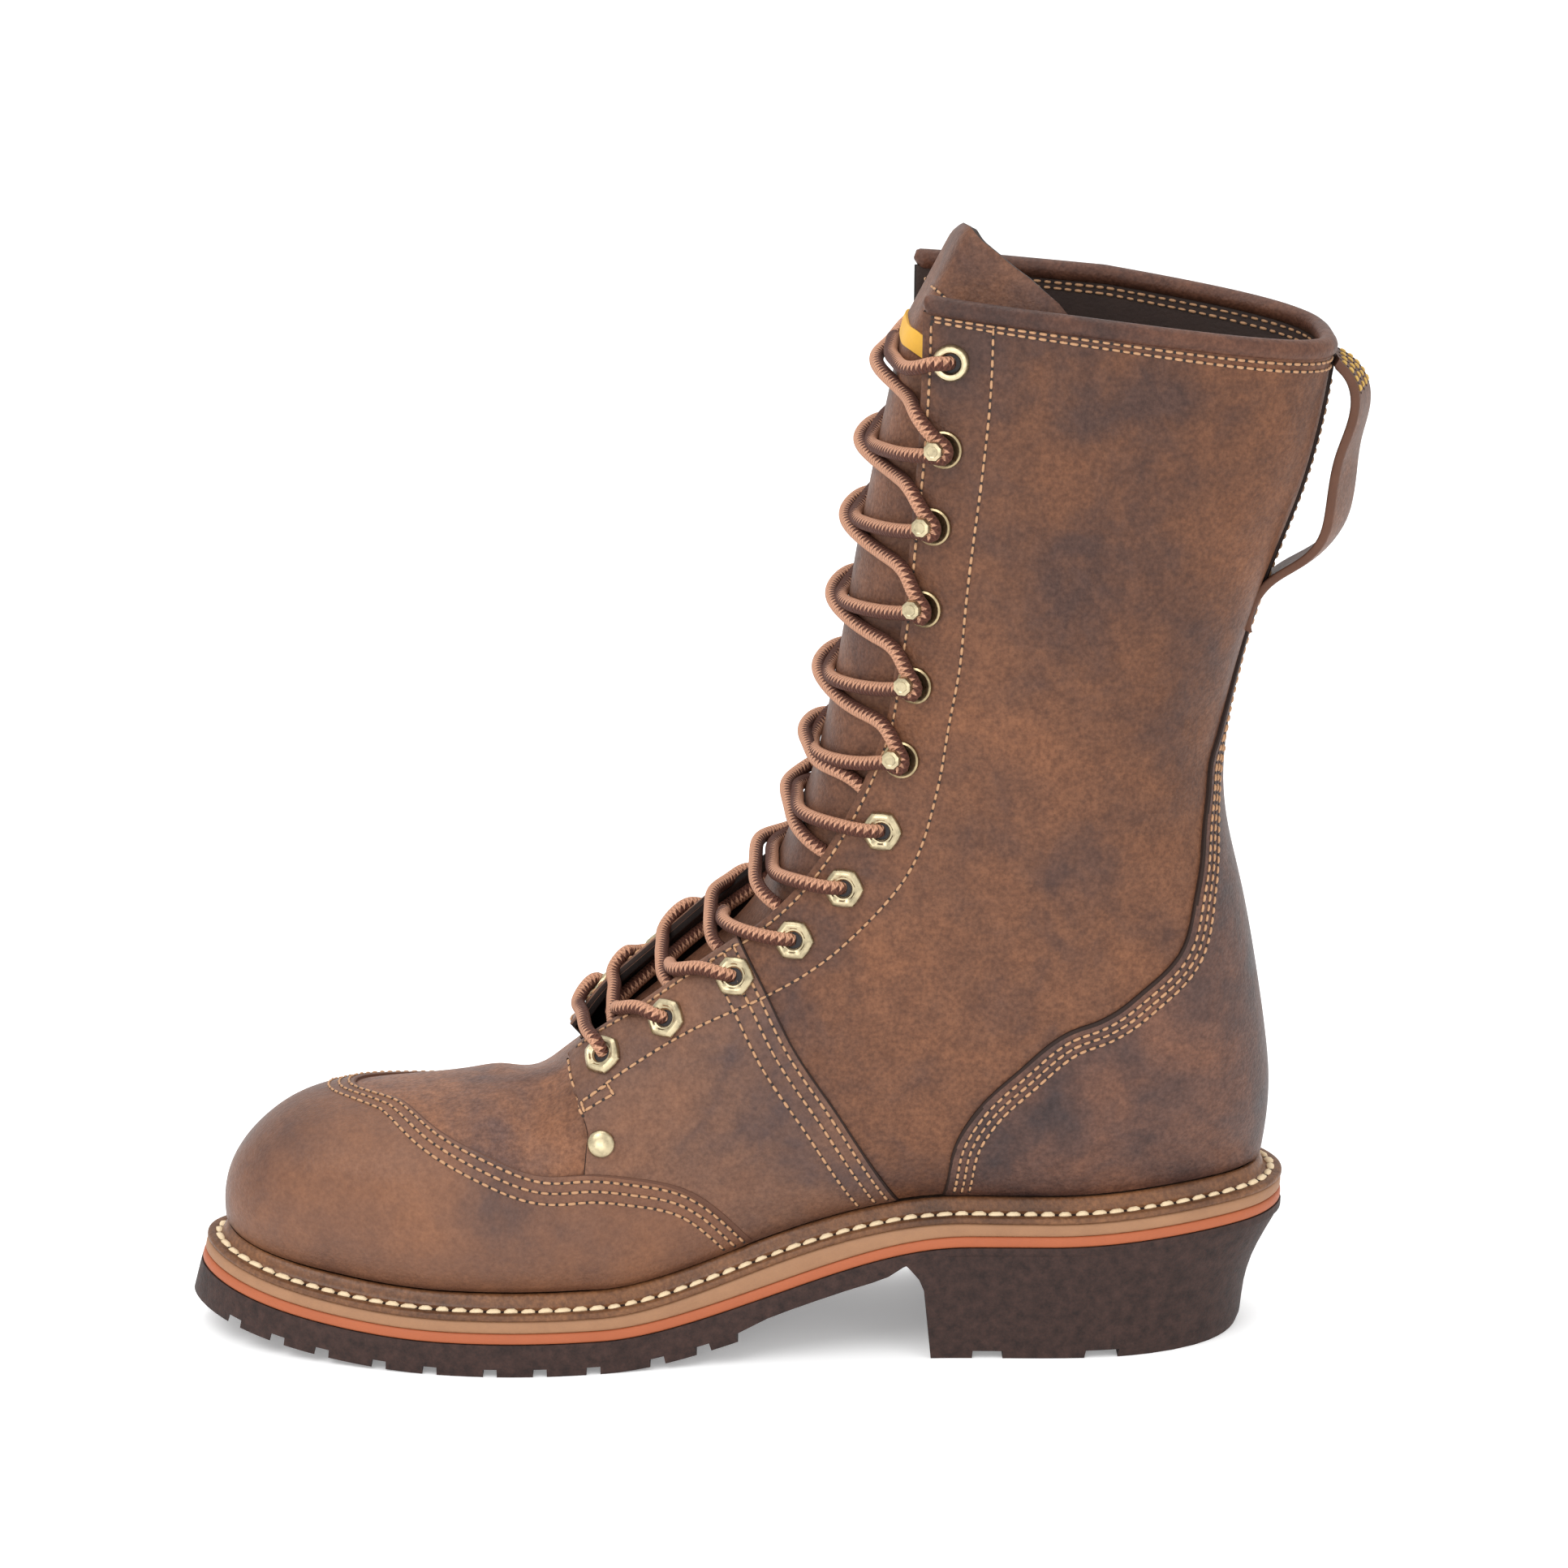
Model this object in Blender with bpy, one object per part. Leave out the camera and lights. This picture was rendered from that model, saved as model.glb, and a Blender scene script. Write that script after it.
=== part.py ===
# Lineman boot, right foot.  Lengths in millimetres in the functions, metres in
# the meshes.  +X runs to the toe, +Y to the medial (inner) side, +Z up, and the
# floor is z = 0.
import math
import bpy
import bmesh
import numpy as np
from mathutils import Vector, Matrix

for old in list(bpy.data.objects):
    bpy.data.objects.remove(old, do_unlink=True)

MM = 0.001
SHIFT = np.array([6.17, 3.25, 0.0])      # puts the origin under the middle of the box

# ------------------------------------------------------------- named sizes
TOE_X, HEEL_X = 161.5, -160.0            # ends of the sole at the outsole's top
TREAD_T = 10.3                           # outsole with its lugs, at the ball
BASE_T = 6.0                             # outsole between the lugs and at the waist
SEAT_T = 2.5                             # outsole over the heel block
BALL_FRONT, BALL_BACK = 86.0, 42.0       # flat stretch under the ball
HEEL_RISE, SEAT_FRONT = 25.0, -66.0      # how much the seat stands over the ball
CUP_FRONT, CUP_RISE, CUP_RUN = -90.0, 3.8, 60.0
TOE_SPRING = 10.0
GAP = 0.3
ACCENT_T = 3.1
MID_T, MID_WAIST = 3.5, 1.7              # midsole, and its extra at the waist
WELT_T = 1.7
BEAD_H = 4.4
WALL = 2.4                               # upper leather with its lining
CAP_IN, CAP_OUT = 0.5, 1.9              # overlay leather above the upper
LACE_D = 5.0
EYELET_D, EYELET_HOLE = 12.0, 5.8
HOOK_D = 10.0
RIVET_D = 8.0
BINDING_D = 6.4

# Sole outline: half-widths either side of the heel-to-toe axis.
#            x     medial  lateral
OUTLINE = [(-152.0, 18.5, 18.5),
           (-138.0, 28.0, 28.0),
           (-118.0, 33.8, 34.0),
           (-90.0, 35.4, 36.0),
           (-55.0, 35.2, 38.5),
           (-20.0, 37.2, 44.0),
           (15.0, 40.8, 51.0),
           (45.0, 46.4, 54.6),
           (68.0, 48.2, 53.6),
           (92.0, 45.8, 48.6),
           (120.0, 38.6, 37.4),
           (142.0, 29.4, 25.4),
           (155.0, 18.4, 13.6)]
TOE_Y = 2.2                              # the toe's tip lies to the medial side


def spline(ts, ys, start=None, end=None):
    """Cubic through the rows; start and end slopes may be fixed."""
    ts, ys = np.asarray(ts, float), np.asarray(ys, float)
    n, h = len(ts), np.diff(ts)
    d = np.diff(ys) / h
    a, r = np.zeros((n, n)), np.zeros(n)
    for i in range(1, n - 1):
        a[i, i - 1], a[i, i + 1] = 1 / h[i - 1], 1 / h[i]
        a[i, i] = 2 * (1 / h[i - 1] + 1 / h[i])
        r[i] = 3 * (d[i - 1] / h[i - 1] + d[i] / h[i])
    a[0, 0], r[0] = 1, start if start is not None else 0
    a[-1, -1], r[-1] = 1, end if end is not None else 0
    if start is None:
        a[0, 0], a[0, 1], r[0] = 2, 1, 3 * d[0]
    if end is None:
        a[-1, -1], a[-1, -2], r[-1] = 2, 1, 3 * d[-1]
    m = np.linalg.solve(a, r)

    def f(t):
        t = np.clip(np.asarray(t, float), ts[0], ts[-1])
        k = np.clip(np.searchsorted(ts, t, side="right") - 1, 0, n - 2)
        u = (t - ts[k]) / h[k]
        return (ys[k] * (1 + 2 * u) * (1 - u) ** 2 + m[k] * h[k] * u * (1 - u) ** 2
                + ys[k + 1] * u * u * (3 - 2 * u) + m[k + 1] * h[k] * u * u * (u - 1))
    return f


def step(u):
    u = np.clip(u, 0.0, 1.0)
    return u * u * (3 - 2 * u)


# ------------------------------------------------------------- the sole's curve
def sole_z(x):
    """Height of the outsole's top along the boot."""
    x = np.asarray(x, float)
    toe = TOE_SPRING * (np.maximum(x - BALL_FRONT, 0) / (TOE_X - BALL_FRONT)) ** 2
    waist = HEEL_RISE * step((BALL_BACK - x) / (BALL_BACK - SEAT_FRONT))
    cup = CUP_RISE * step((CUP_FRONT - x) / CUP_RUN)
    return TREAD_T + toe + waist + cup


def sole_pt(x, y, h):
    """Point at height h square to the sole's curve."""
    s = (sole_z(x + 0.05) - sole_z(x - 0.05)) / 0.1
    c = 1 / np.sqrt(1 + s * s)
    return np.stack(np.broadcast_arrays(x - h * s * c, y, sole_z(x) + h * c), -1)


def closed_curve(pts, count):
    """Even points on a smooth closed curve through pts."""
    p = np.array(pts + pts[:4])
    p = np.vstack([np.array(pts[-3:]), p])
    s = np.concatenate([[0], np.cumsum(np.linalg.norm(np.diff(p, axis=0), axis=1))])
    fx, fy = spline(s, p[:, 0]), spline(s, p[:, 1])
    a, b = s[3], s[3 + len(pts)]
    q = np.linspace(a, b, 4001)
    xy = np.stack([fx(q), fy(q)], 1)
    arc = np.concatenate([[0], np.cumsum(np.linalg.norm(np.diff(xy, axis=0), axis=1))])
    w = np.linspace(0, arc[-1], count, endpoint=False)
    return np.stack([np.interp(w, arc, xy[:, 0]), np.interp(w, arc, xy[:, 1])], 1)


RIM = closed_curve([(HEEL_X, 0.0)] + [(x, m) for x, m, l in OUTLINE] + [(TOE_X, TOE_Y)]
                   + [(x, -l) for x, m, l in reversed(OUTLINE)], 1600)


def inset(curve, dist):
    """The outline moved inwards by dist (a number, or one for each point)."""
    t = np.roll(curve, -1, 0) - np.roll(curve, 1, 0)
    t /= np.linalg.norm(t, axis=1)[:, None]
    return curve - np.stack([-t[:, 1], t[:, 0]], 1) * np.reshape(dist, (-1, 1))


def feather_inset(x):
    """Welt's width from its outer edge to the upper."""
    return 8.8 - 2.8 * step((x - 118.0) / 42.0) - 0.8 * step((-120.0 - x) / 36.0)


FEATHER = inset(RIM, feather_inset(RIM[:, 0]))


def sides(curve):
    """Half-width of a closed outline on each side, as functions of x."""
    i, j = np.argmin(curve[:, 0]), np.argmax(curve[:, 0])
    c = np.roll(curve, -i, 0)
    k = (j - i) % len(curve)
    med, lat = c[:k + 1], np.vstack([c[k:], c[:1]])[::-1]

    def f(x, side):
        one = med if side > 0 else lat
        return np.interp(x, one[:, 0], one[:, 1] * side)
    return f, c[0], c[k]


rim_half, RIM_HEEL, RIM_TOE = sides(RIM)
feather_half, F_HEEL, F_TOE = sides(FEATHER)


def mid_top(x):
    bump = np.exp(-((np.asarray(x, float) + 18.0) / 34.0) ** 2)
    return GAP + ACCENT_T + GAP + MID_T + MID_WAIST * bump


def bead_top(x):
    return mid_top(x) + GAP + WELT_T + BEAD_H


# ------------------------------------------------------------- the last
# One row for each section: the crest (or front) point, where the section starts
# (x along the sole, or z up the back), how far the wall bulges past the feather
# line or its half-width, the height of the widest place as a share of the
# section, the fullness of its upper and lower halves, half of the throat's gap
# and the ridge's shift to the medial side.
#        crest_x crest_z start_x bulge_m bulge_l  wide  up   low   gap  ridge
FOOT = [(151.6, 33.0, None,   0.0,  0.0, 0.36, 2.2, 2.0,  0.0, 2.2),
        (152.4, 38.5, 0.8,    0.4,  0.4, 0.36, 2.2, 2.0,  2.2, 2.2),
        (152.0, 44.2, 3.2,    0.9,  0.9, 0.36, 2.2, 2.0,  4.2, 2.2),
        (150.2, 50.0, 7.2,    1.6,  1.6, 0.36, 2.2, 2.0,  5.8, 2.2),
        (146.3, 56.2, 12.8,   2.4,  2.4, 0.36, 2.25, 2.0, 7.0, 2.2),
        (140.1, 62.4, 20.0,   3.1,  3.1, 0.35, 2.3, 2.0,  7.8, 2.3),
        (131.6, 67.7, 30.0,   3.8,  3.8, 0.34, 2.35, 2.0, 8.2, 2.4),
        (120.0, 71.0, 42.0,   4.4,  4.4, 0.33, 2.35, 2.0, 8.4, 2.5),
        (105.8, 72.3, 56.0,   4.9,  5.1, 0.32, 2.3, 2.0,  8.4, 2.7),
        (90.0, 73.4, 72.0,    5.2,  5.6, 0.31, 2.2, 2.0,  8.4, 3.0),
        (73.5, 75.4, 90.0,    5.2,  5.9, 0.30, 2.1, 2.0,  8.4, 3.0),
        (58.5, 79.8, 111.0,   5.0,  5.8, 0.30, 2.05, 2.0, 8.6, 2.6),
        (47.0, 92.0, 135.0,   5.0,  5.6, 0.30, 3.0, 2.0, 12.6, 2.2),
        (34.0, 104.0, 161.0,  5.2,  5.0, 0.30, 3.5, 2.0, 17.4, 1.8)]
#        crest_x crest_z start   half_m half_l  wide  up   low   gap  ridge
LEG = [(20.5, 116.0, -34.0,    37.2, 40.0, 0.32, 3.6, 2.0,  21.2, 1.4),
       (7.0, 129.5, -62.0,     36.4, 38.0, 0.36, 3.8, 2.0,  24.6, 1.0),
       (-5.5, 145.0, -90.0,    36.4, 37.0, 0.40, 3.7, 2.0,  27.0, 0.6),
       (-14.5, 163.0, -117.0,  37.0, 37.2, 0.44, 3.45, 2.05, 28.6, 0.3),
       (-19.5, 181.0, -142.0,  37.8, 37.8, 0.47, 3.15, 2.1, 29.6, 0.1),
       (-22.5, 197.0, None,    38.6, 38.6, 0.49, 2.85, 2.15, 30.2, 0.0),
       (-24.6, 209.5, 78.0,    39.4, 39.4, 0.50, 2.6, 2.2, 30.6, 0.0),
       (-26.4, 221.0, 102.0,   40.2, 40.2, 0.50, 2.5, 2.2, 30.9, 0.0),
       (-28.1, 232.5, 127.0,   40.8, 40.8, 0.50, 2.4, 2.2, 31.2, 0.0),
       (-29.8, 244.0, 152.0,   41.0, 41.0, 0.50, 2.35, 2.2, 31.5, 0.0),
       (-31.2, 255.5, 177.0,   40.8, 40.8, 0.50, 2.4, 2.2, 31.8, 0.0),
       (-32.2, 267.0, 202.0,   40.2, 40.2, 0.50, 2.55, 2.3, 32.1, 0.0),
       (-32.9, 278.0, 226.0,   39.4, 39.4, 0.50, 2.8, 2.4, 32.5, 0.0),
       (-33.2, 288.5, 249.0,   38.4, 38.4, 0.50, 3.2, 2.55, 32.9, 0.0),
       (-33.2, 298.0, 270.0,   37.4, 37.4, 0.50, 3.65, 2.75, 33.2, 0.0),
       (-33.0, 306.0, 288.5,   36.6, 36.6, 0.50, 4.1, 3.0, 33.4, 0.0)]
# Back line of the upper:  z     x
BACK = [(52.0, -151.8), (64.0, -153.4), (76.0, -153.8), (90.0, -152.4), (113.0, -148.6),
        (138.0, -143.4), (157.0, -138.8), (170.0, -137.4), (184.0, -138.0), (204.0, -141.4),
        (220.0, -145.6), (238.0, -151.6), (256.0, -158.0), (274.0, -162.8), (290.0, -165.4)]

ROWS = FOOT + LEG
LAST = len(ROWS) - 1
CORNER = len(FOOT) + 5                   # the section that starts at the heel's lower corner
THROAT = 11.7                            # the section where the facings part
FACE_V = 0.42                            # facing edge in the surface's own measure
row_ids = np.arange(len(ROWS))


def column(k, **ends):
    return spline(row_ids, [r[k] for r in ROWS], **ends)


crest_x, crest_z = column(0), column(1)
wide_at, full_up, full_low = column(5), column(6), column(7)
half_gap, ridge = column(8), column(9)
_sx = [F_TOE[0]] + [F_TOE[0] - r[2] for r in FOOT[1:]] + [r[2] for r in LEG[:5]] + [F_HEEL[0]]
start_x = spline(range(CORNER + 1), _sx, start=0.0, end=0.0)
HEEL_Z = float(sole_pt(F_HEEL[0], 0.0, bead_top(F_HEEL[0]))[2])
start_z = spline(range(CORNER, LAST + 1), [HEEL_Z] + [r[2] for r in LEG[6:]])
back_x = spline([z for z, x in BACK], [x for z, x in BACK])
HEEL_PT = sole_pt(F_HEEL[0], 0.0, bead_top(F_HEEL[0]))
BACK_FIX = float(HEEL_PT[0] - back_x(HEEL_Z))


def half_rows(k, side):
    out = []
    for i, r in enumerate(ROWS):
        if i < len(FOOT):
            out.append(r[k] + float(feather_half(_sx[i], side)) - side * r[9])
        else:
            out.append(r[k] - side * r[9])
    out[0] = 0.0
    return spline(row_ids, out)


half_of = {1: half_rows(3, 1), -1: half_rows(4, -1)}


def section(t, side, count=44):
    """Half a section as points from its start up to the crest, and their arc."""
    t = float(t)
    yc = float(ridge(t))
    hw = max(float(half_of[side](t)), 1e-4)
    n_up, n_lo, wm = float(full_up(t)), float(full_low(t)), float(wide_at(t))
    if t <= CORNER:
        x = float(start_x(t))
        base = sole_pt(x, 0.0, bead_top(x))
        foot = max(float(feather_half(x, side)) - side * yc, 0.0)
        hw = max(hw, foot + 0.02)
    else:
        z = float(start_z(t))
        lift = BACK_FIX * max(0.0, 1 - (z - HEEL_Z) / 40.0)
        base = np.array([float(back_x(z)) + lift, 0.0, z])
        foot = 0.0
    top = np.array([float(crest_x(t)), 0.0, float(crest_z(t))])
    a0 = math.asin(min(foot / hw, 0.999) ** (n_lo / 2))
    a = np.linspace(a0, math.pi / 2, count)
    q, y1 = 1 - np.cos(a) ** (2 / n_lo), np.sin(a) ** (2 / n_lo)
    w1 = wm * (q - q[0]) / (1 - q[0])
    b = np.linspace(0, math.pi / 2, count)[1:]
    w2, y2 = wm + (1 - wm) * np.sin(b) ** (2 / n_up), np.cos(b) ** (2 / n_up)
    w, y = np.concatenate([w1, w2]), np.concatenate([y1, y2])
    y[-1] = 0.0
    p = base[None] * (1 - w[:, None]) + top[None] * w[:, None]
    p[:, 1] = yc * min(1.0, 1.0) + side * hw * y
    arc = np.concatenate([[0], np.cumsum(np.linalg.norm(np.diff(p, axis=0), axis=1))])
    g = min(float(half_gap(t)), 0.97 * hw) / hw
    up = count - 1
    face = np.interp(-g, -y[up:], arc[up:])
    return p, arc, face


def last_pt(t, v):
    """Point on the outer face: v runs from the medial start (0) over the crest
    (0.5) to the lateral start (1), with the facing edges at FACE_V and 1-FACE_V."""
    side, v = (1, v) if v <= 0.5 else (-1, 1 - v)
    p, arc, face = section(t, side)
    s = v / FACE_V * face if v <= FACE_V else face + (v - FACE_V) / (0.5 - FACE_V) * (arc[-1] - face)
    return np.array([np.interp(s, arc, p[:, k]) for k in range(3)])


def last_normal(t, v):
    t = min(max(t, 0.35), LAST - 0.02)
    e, k = 0.02, 0.004
    v0, v1 = max(v - k, 0.0), min(v + k, 1.0)
    du = last_pt(t + e, v) - last_pt(t - e, v)
    dv = last_pt(t, v1) - last_pt(t, v0)
    n = np.cross(du, dv)
    return n / np.linalg.norm(n)


def v_step(t, v, dist):
    """Change of v that moves dist millimetres along the section at v."""
    p, arc, face = section(t, 1 if v <= 0.5 else -1)
    return dist * FACE_V / face


# ------------------------------------------------------------- making objects
def material(name, rgb, rough, metal=0.0):
    m = bpy.data.materials.get(name)
    if m is None:
        m = bpy.data.materials.new(name)
        m.use_nodes = True
        s = m.node_tree.nodes["Principled BSDF"].inputs
        s["Base Color"].default_value = (*rgb, 1.0)
        s["Roughness"].default_value = rough
        s["Metallic"].default_value = metal
    return m


LEATHER = ("boot_leather", (0.20, 0.085, 0.050), 0.55)
DARK = ("tongue_leather", (0.10, 0.045, 0.028), 0.6)
RUBBER = ("outsole_rubber", (0.045, 0.028, 0.025), 0.7)
TAN = ("midsole_tan", (0.28, 0.20, 0.14), 0.7)
ORANGE = ("midsole_orange", (0.68, 0.16, 0.06), 0.6)
WELT = ("welt_leather", (0.22, 0.11, 0.055), 0.5)
BOARD = ("insole_board", (0.30, 0.20, 0.12), 0.8)
BRASS = ("antique_brass", (0.62, 0.55, 0.38), 0.35, 1.0)
CORD = ("lace_cord", (0.45, 0.22, 0.16), 0.8)

ROOT = bpy.data.objects.new("boot", None)
bpy.context.scene.collection.objects.link(ROOT)


def add(name, verts, faces, mat, hidden=False):
    """A named object from points in millimetres."""
    me = bpy.data.meshes.new(name)
    pts = (np.array(verts, float) + SHIFT) * MM
    me.from_pydata([tuple(p) for p in pts], [], [tuple(int(i) for i in f) for f in faces])
    bm = bmesh.new()
    bm.from_mesh(me)
    bmesh.ops.recalc_face_normals(bm, faces=bm.faces)
    if bm.calc_volume(signed=True) < 0:
        bmesh.ops.reverse_faces(bm, faces=bm.faces)
    bm.to_mesh(me)
    bm.free()
    me.shade_smooth()
    me.set_sharp_from_angle(angle=math.radians(40))
    ob = bpy.data.objects.new(name, me)
    me.materials.append(material(*mat))
    ob.parent = ROOT
    bpy.context.scene.collection.objects.link(ob)
    if hidden:
        ob.hide_render = True
        ob.display_type = 'WIRE'
    return ob


def shell(name, outer, inner, quads, mat):
    """Closed wall between two sheets of matching points; the rim is closed too."""
    n = len(outer)
    faces = [tuple(q) for q in quads] + [tuple(i + n for i in reversed(q)) for q in quads]
    edges = {}
    for q in quads:
        for a, b in zip(q, q[1:] + q[:1]):
            if a != b:
                edges[(a, b)] = edges.get((a, b), 0) + 1
    for a, b in edges:
        if (b, a) not in edges:
            faces.append((b, a, a + n, b + n))
    return add(name, np.vstack([outer, inner]), faces, mat)


class Sheet:
    """Points of the last keyed by their place, with quads between them."""

    def __init__(self):
        self.key, self.place, self.quads = {}, [], []

    @staticmethod
    def name(t, v, drop=0.0):
        if t <= 1e-6:
            return (0.0, 0.0, drop)
        if t >= CORNER - 1e-6 and (v < 1e-6 or v > 1 - 1e-6):
            return (round(t, 4), 0.0, drop)
        return (round(t, 4), round(v, 5), drop)

    def at(self, t, v, drop=0.0):
        k = self.name(t, v, drop)
        if k not in self.key:
            self.key[k] = len(self.place)
            self.place.append((t, v, drop))
        return self.key[k]

    def quad(self, *ids):
        one = []
        for i in ids:
            if i not in one:
                one.append(i)
        if len(one) >= 3:
            self.quads.append(one)

    def points(self, off):
        out = []
        for t, v, drop in self.place:
            o = off(t, v) if callable(off) else off
            p, n = last_pt(t, v), last_normal(t, v)
            if (v < 1e-6 or v > 1 - 1e-6) and t <= CORNER + 1e-6:
                x = float(start_x(t))
                up = sole_pt(x, 0.0, 1.0) - sole_pt(x, 0.0, 0.0)
                n = n - up * float(n @ up)
                n /= np.linalg.norm(n)
                p = p - up * drop * (bead_top(x) - mid_top(x) - 2 * GAP)
            out.append(p + n * o)
        return np.array(out)


# ------------------------------------------------------------- sole pieces
def slab(name, xs, shares, top, bottoms, half, mat, lugs=None, trims=None):
    """A piece of sole on a grid of stations and shares of its half-width.
    bottoms lists the side's levels from under the top down to the last one, which
    only the lug cells reach; top and bottoms are functions (x, y) -> point."""
    nx, nf = len(xs), len(shares)
    verts, index, faces = [], {}, []
    levels = [top] + bottoms
    base = len(levels) - 1 if lugs is None else len(levels) - 2

    def at(i, j, level):
        k = (i, j, level)
        if k not in index:
            x, f = xs[i], shares[j]
            trim = trims[level] if trims else 0.0
            w = max(float(half(x, 1 if f >= 0 else -1)) - trim, 0.5)
            index[k] = len(verts)
            verts.append(levels[level](x, f * w))
        return index[k]

    low = lambda i, j: len(levels) - 1 if lugs is not None and lugs(i, j) else base
    for i in range(nx - 1):
        for j in range(nf - 1):
            faces.append((at(i, j, 0), at(i + 1, j, 0), at(i + 1, j + 1, 0), at(i, j + 1, 0)))
            d = low(i, j)
            faces.append((at(i, j + 1, d), at(i + 1, j + 1, d), at(i + 1, j, d), at(i, j, d)))
            for di, dj, a, b in ((1, 0, (i + 1, j), (i + 1, j + 1)), (0, 1, (i, j + 1), (i + 1, j + 1)),
                                 (-1, 0, (i, j), (i, j + 1)), (0, -1, (i, j), (i + 1, j))):
                ii, jj = i + di, j + dj
                inside = 0 <= ii < nx - 1 and 0 <= jj < nf - 1
                first = (low(ii, jj) if inside else 0)
                for level in range(first, d):
                    faces.append((at(*a, level), at(*b, level), at(*b, level + 1), at(*a, level + 1)))
    return add(name, verts, faces, mat)


def ends(x0, x1, steps):
    """Stations crowded towards a rounded end."""
    return [x0 + (x1 - x0) * (1 - (1 - k / steps) ** 2) for k in range(steps + 1)][::-1]


HEEL_ENDS = [HEEL_X + d for d in (0.5, 2.2, 5.4, 10.0, 16.5)]
TOE_ENDS = [TOE_X - d for d in (12.0, 7.4, 4.0, 1.7, 0.4)]
PLAIN_X = HEEL_ENDS + [HEEL_X + 26.0 + k * 14.2 for k in range(20)] + TOE_ENDS
LEVEL = lambda h: (lambda x, y: sole_pt(x, y, h(x) if callable(h) else h))

slab("accent_midsole", PLAIN_X, [-1, 0, 1], LEVEL(GAP + ACCENT_T), [LEVEL(GAP)], rim_half, ORANGE)
slab("midsole", PLAIN_X, [-1, 0, 1], LEVEL(mid_top), [LEVEL(GAP + ACCENT_T + GAP)], rim_half, TAN)


def base_t(x):
    return SEAT_T + (BASE_T - SEAT_T) * step((x + 51.0) / 13.0)


# Forefoot lugs along the boot:  from   to
LUGS = [(4.5, 12.0), (16.0, 24.5), (28.5, 41.5), (45.5, 57.0), (61.0, 71.5), (75.5, 89.0),
        (93.0, 103.5), (107.5, 120.0), (124.0, 133.0), (137.0, 146.0), (149.6, TOE_X)]
SHARES = [-1.0, -0.60, -0.50, -0.07, 0.07, 0.50, 0.60, 1.0]
tread_x = (HEEL_ENDS + [-128.0, -117.0, -106.0, -92.0, -79.0, -69.0, -52.0, -45.0, -38.0, -22.0, -8.0]
           + sorted({x for lug in LUGS for x in lug} - {TOE_X}) + TOE_ENDS[1:])


def is_lug(i, j):
    mid = (tread_x[i] + tread_x[i + 1]) / 2
    return j % 2 == 0 and any(a < mid < b for a, b in LUGS)


slab("outsole", tread_x, SHARES, LEVEL(0.0),
     [LEVEL(lambda x: -base_t(x)), LEVEL(-TREAD_T)], rim_half, RUBBER, is_lug, [0.0, 0.4, 1.0])

# Heel block: rows are levels from the top down.
#               share of height   back_x   trim of the sides
HEEL_LEVELS = [(1.00, -159.2, 0.3), (0.80, -155.6, 0.7), (0.58, -152.0, 1.0),
               (0.34, -149.8, 1.2), (0.075, -148.8, 1.5), (0.0, -147.6, 2.0)]
BREAST = -52.0
heel_x = [HEEL_ENDS[0], HEEL_ENDS[1], HEEL_ENDS[2], HEEL_ENDS[3], HEEL_ENDS[4], -128.0, -117.0, -106.0,
          -92.0, -79.0, -69.0, BREAST]


def heel_level(share, back, trim):
    def f(x, y):
        k = (BREAST - back) / (BREAST - HEEL_ENDS[0])
        ztop = float(sole_z(x)) - SEAT_T - GAP
        front = 3.0 * (1 - share) * step((x + 69.0) / 17.0)
        return np.array([BREAST + (x - BREAST) * k - front, y, ztop * share])
    return f


def heel_lug(i, j):
    mid = (heel_x[i] + heel_x[i + 1]) / 2
    return not (-117.0 < mid < -106.0 or -79.0 < mid < -69.0) or j == 1


slab("heel", heel_x, [-1.0, -0.45, 0.45, 1.0], heel_level(*HEEL_LEVELS[0]),
     [heel_level(*r) for r in HEEL_LEVELS[1:]], rim_half, RUBBER, heel_lug,
     [r[2] for r in HEEL_LEVELS])

# Insole inside the upper's lower edge.
INNER = inset(FEATHER, WALL + 1.0)
inner_half, I_HEEL, I_TOE = sides(INNER)
in_x = ([I_HEEL[0] + d for d in (0.5, 2.6, 6.5, 13.0)] + [I_HEEL[0] + 26.0 + 16.0 * k for k in range(16)]
        + [I_TOE[0] - d for d in (13.0, 6.5, 2.6, 0.5)])
slab("insole", in_x, [-1, 0, 1], LEVEL(lambda x: mid_top(x) + GAP + 3.2),
     [LEVEL(lambda x: mid_top(x) + GAP)], inner_half, BOARD)

# Welt: its profile runs from the outer lower edge over the flat and the bead.
#            share of the width inwards   height
WELT_ROWS = [(0.00, 0.0), (0.00, 1.0), (0.62, 1.0), (0.72, 3.0), (0.86, 3.6), (1.00, 3.0), (1.00, 0.0)]
# Sections of the last that the upper and the welt are built on.
rows = ([0.0, 0.5, 1.0, 1.5] + [2.0 + k for k in range(7)] + [9.2, 10.4, THROAT]
        + [12.5, 13.4, 14.3, 15.2, 16.1, 17.0, 17.7, 18.2, 18.6, CORNER]
        + [19.7, 20.6, 21.6, 22.6, 23.7, 24.8, 25.9, 27.0, 28.0, float(LAST)])
ring_ids = []
for side, path in ((1, [t for t in rows if t <= CORNER]), (-1, [t for t in rows if 0 < t < CORNER][::-1])):
    for t in path:
        x = float(start_x(t))
        spot = np.array([x, side * float(feather_half(x, side))])
        ring_ids.append(int(np.argmin(np.linalg.norm(FEATHER - spot, axis=1))))
RINGS = len(ring_ids)
welt_v, welt_f = [], []
for i in ring_ids:
    out, inn = RIM[i], FEATHER[i]
    d = inn - out
    d = d * (1 - (GAP + 0.15) / np.linalg.norm(d))
    for share, rise in WELT_ROWS:
        x, y = out + d * share
        h = mid_top(x) + (2 - min(rise, 1)) * GAP + min(rise, 1) * WELT_T
        h = h + max(rise - 1, 0) / 2.6 * (BEAD_H - 0.5)
        welt_v.append(sole_pt(x, y, h))
m = len(WELT_ROWS)
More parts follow.
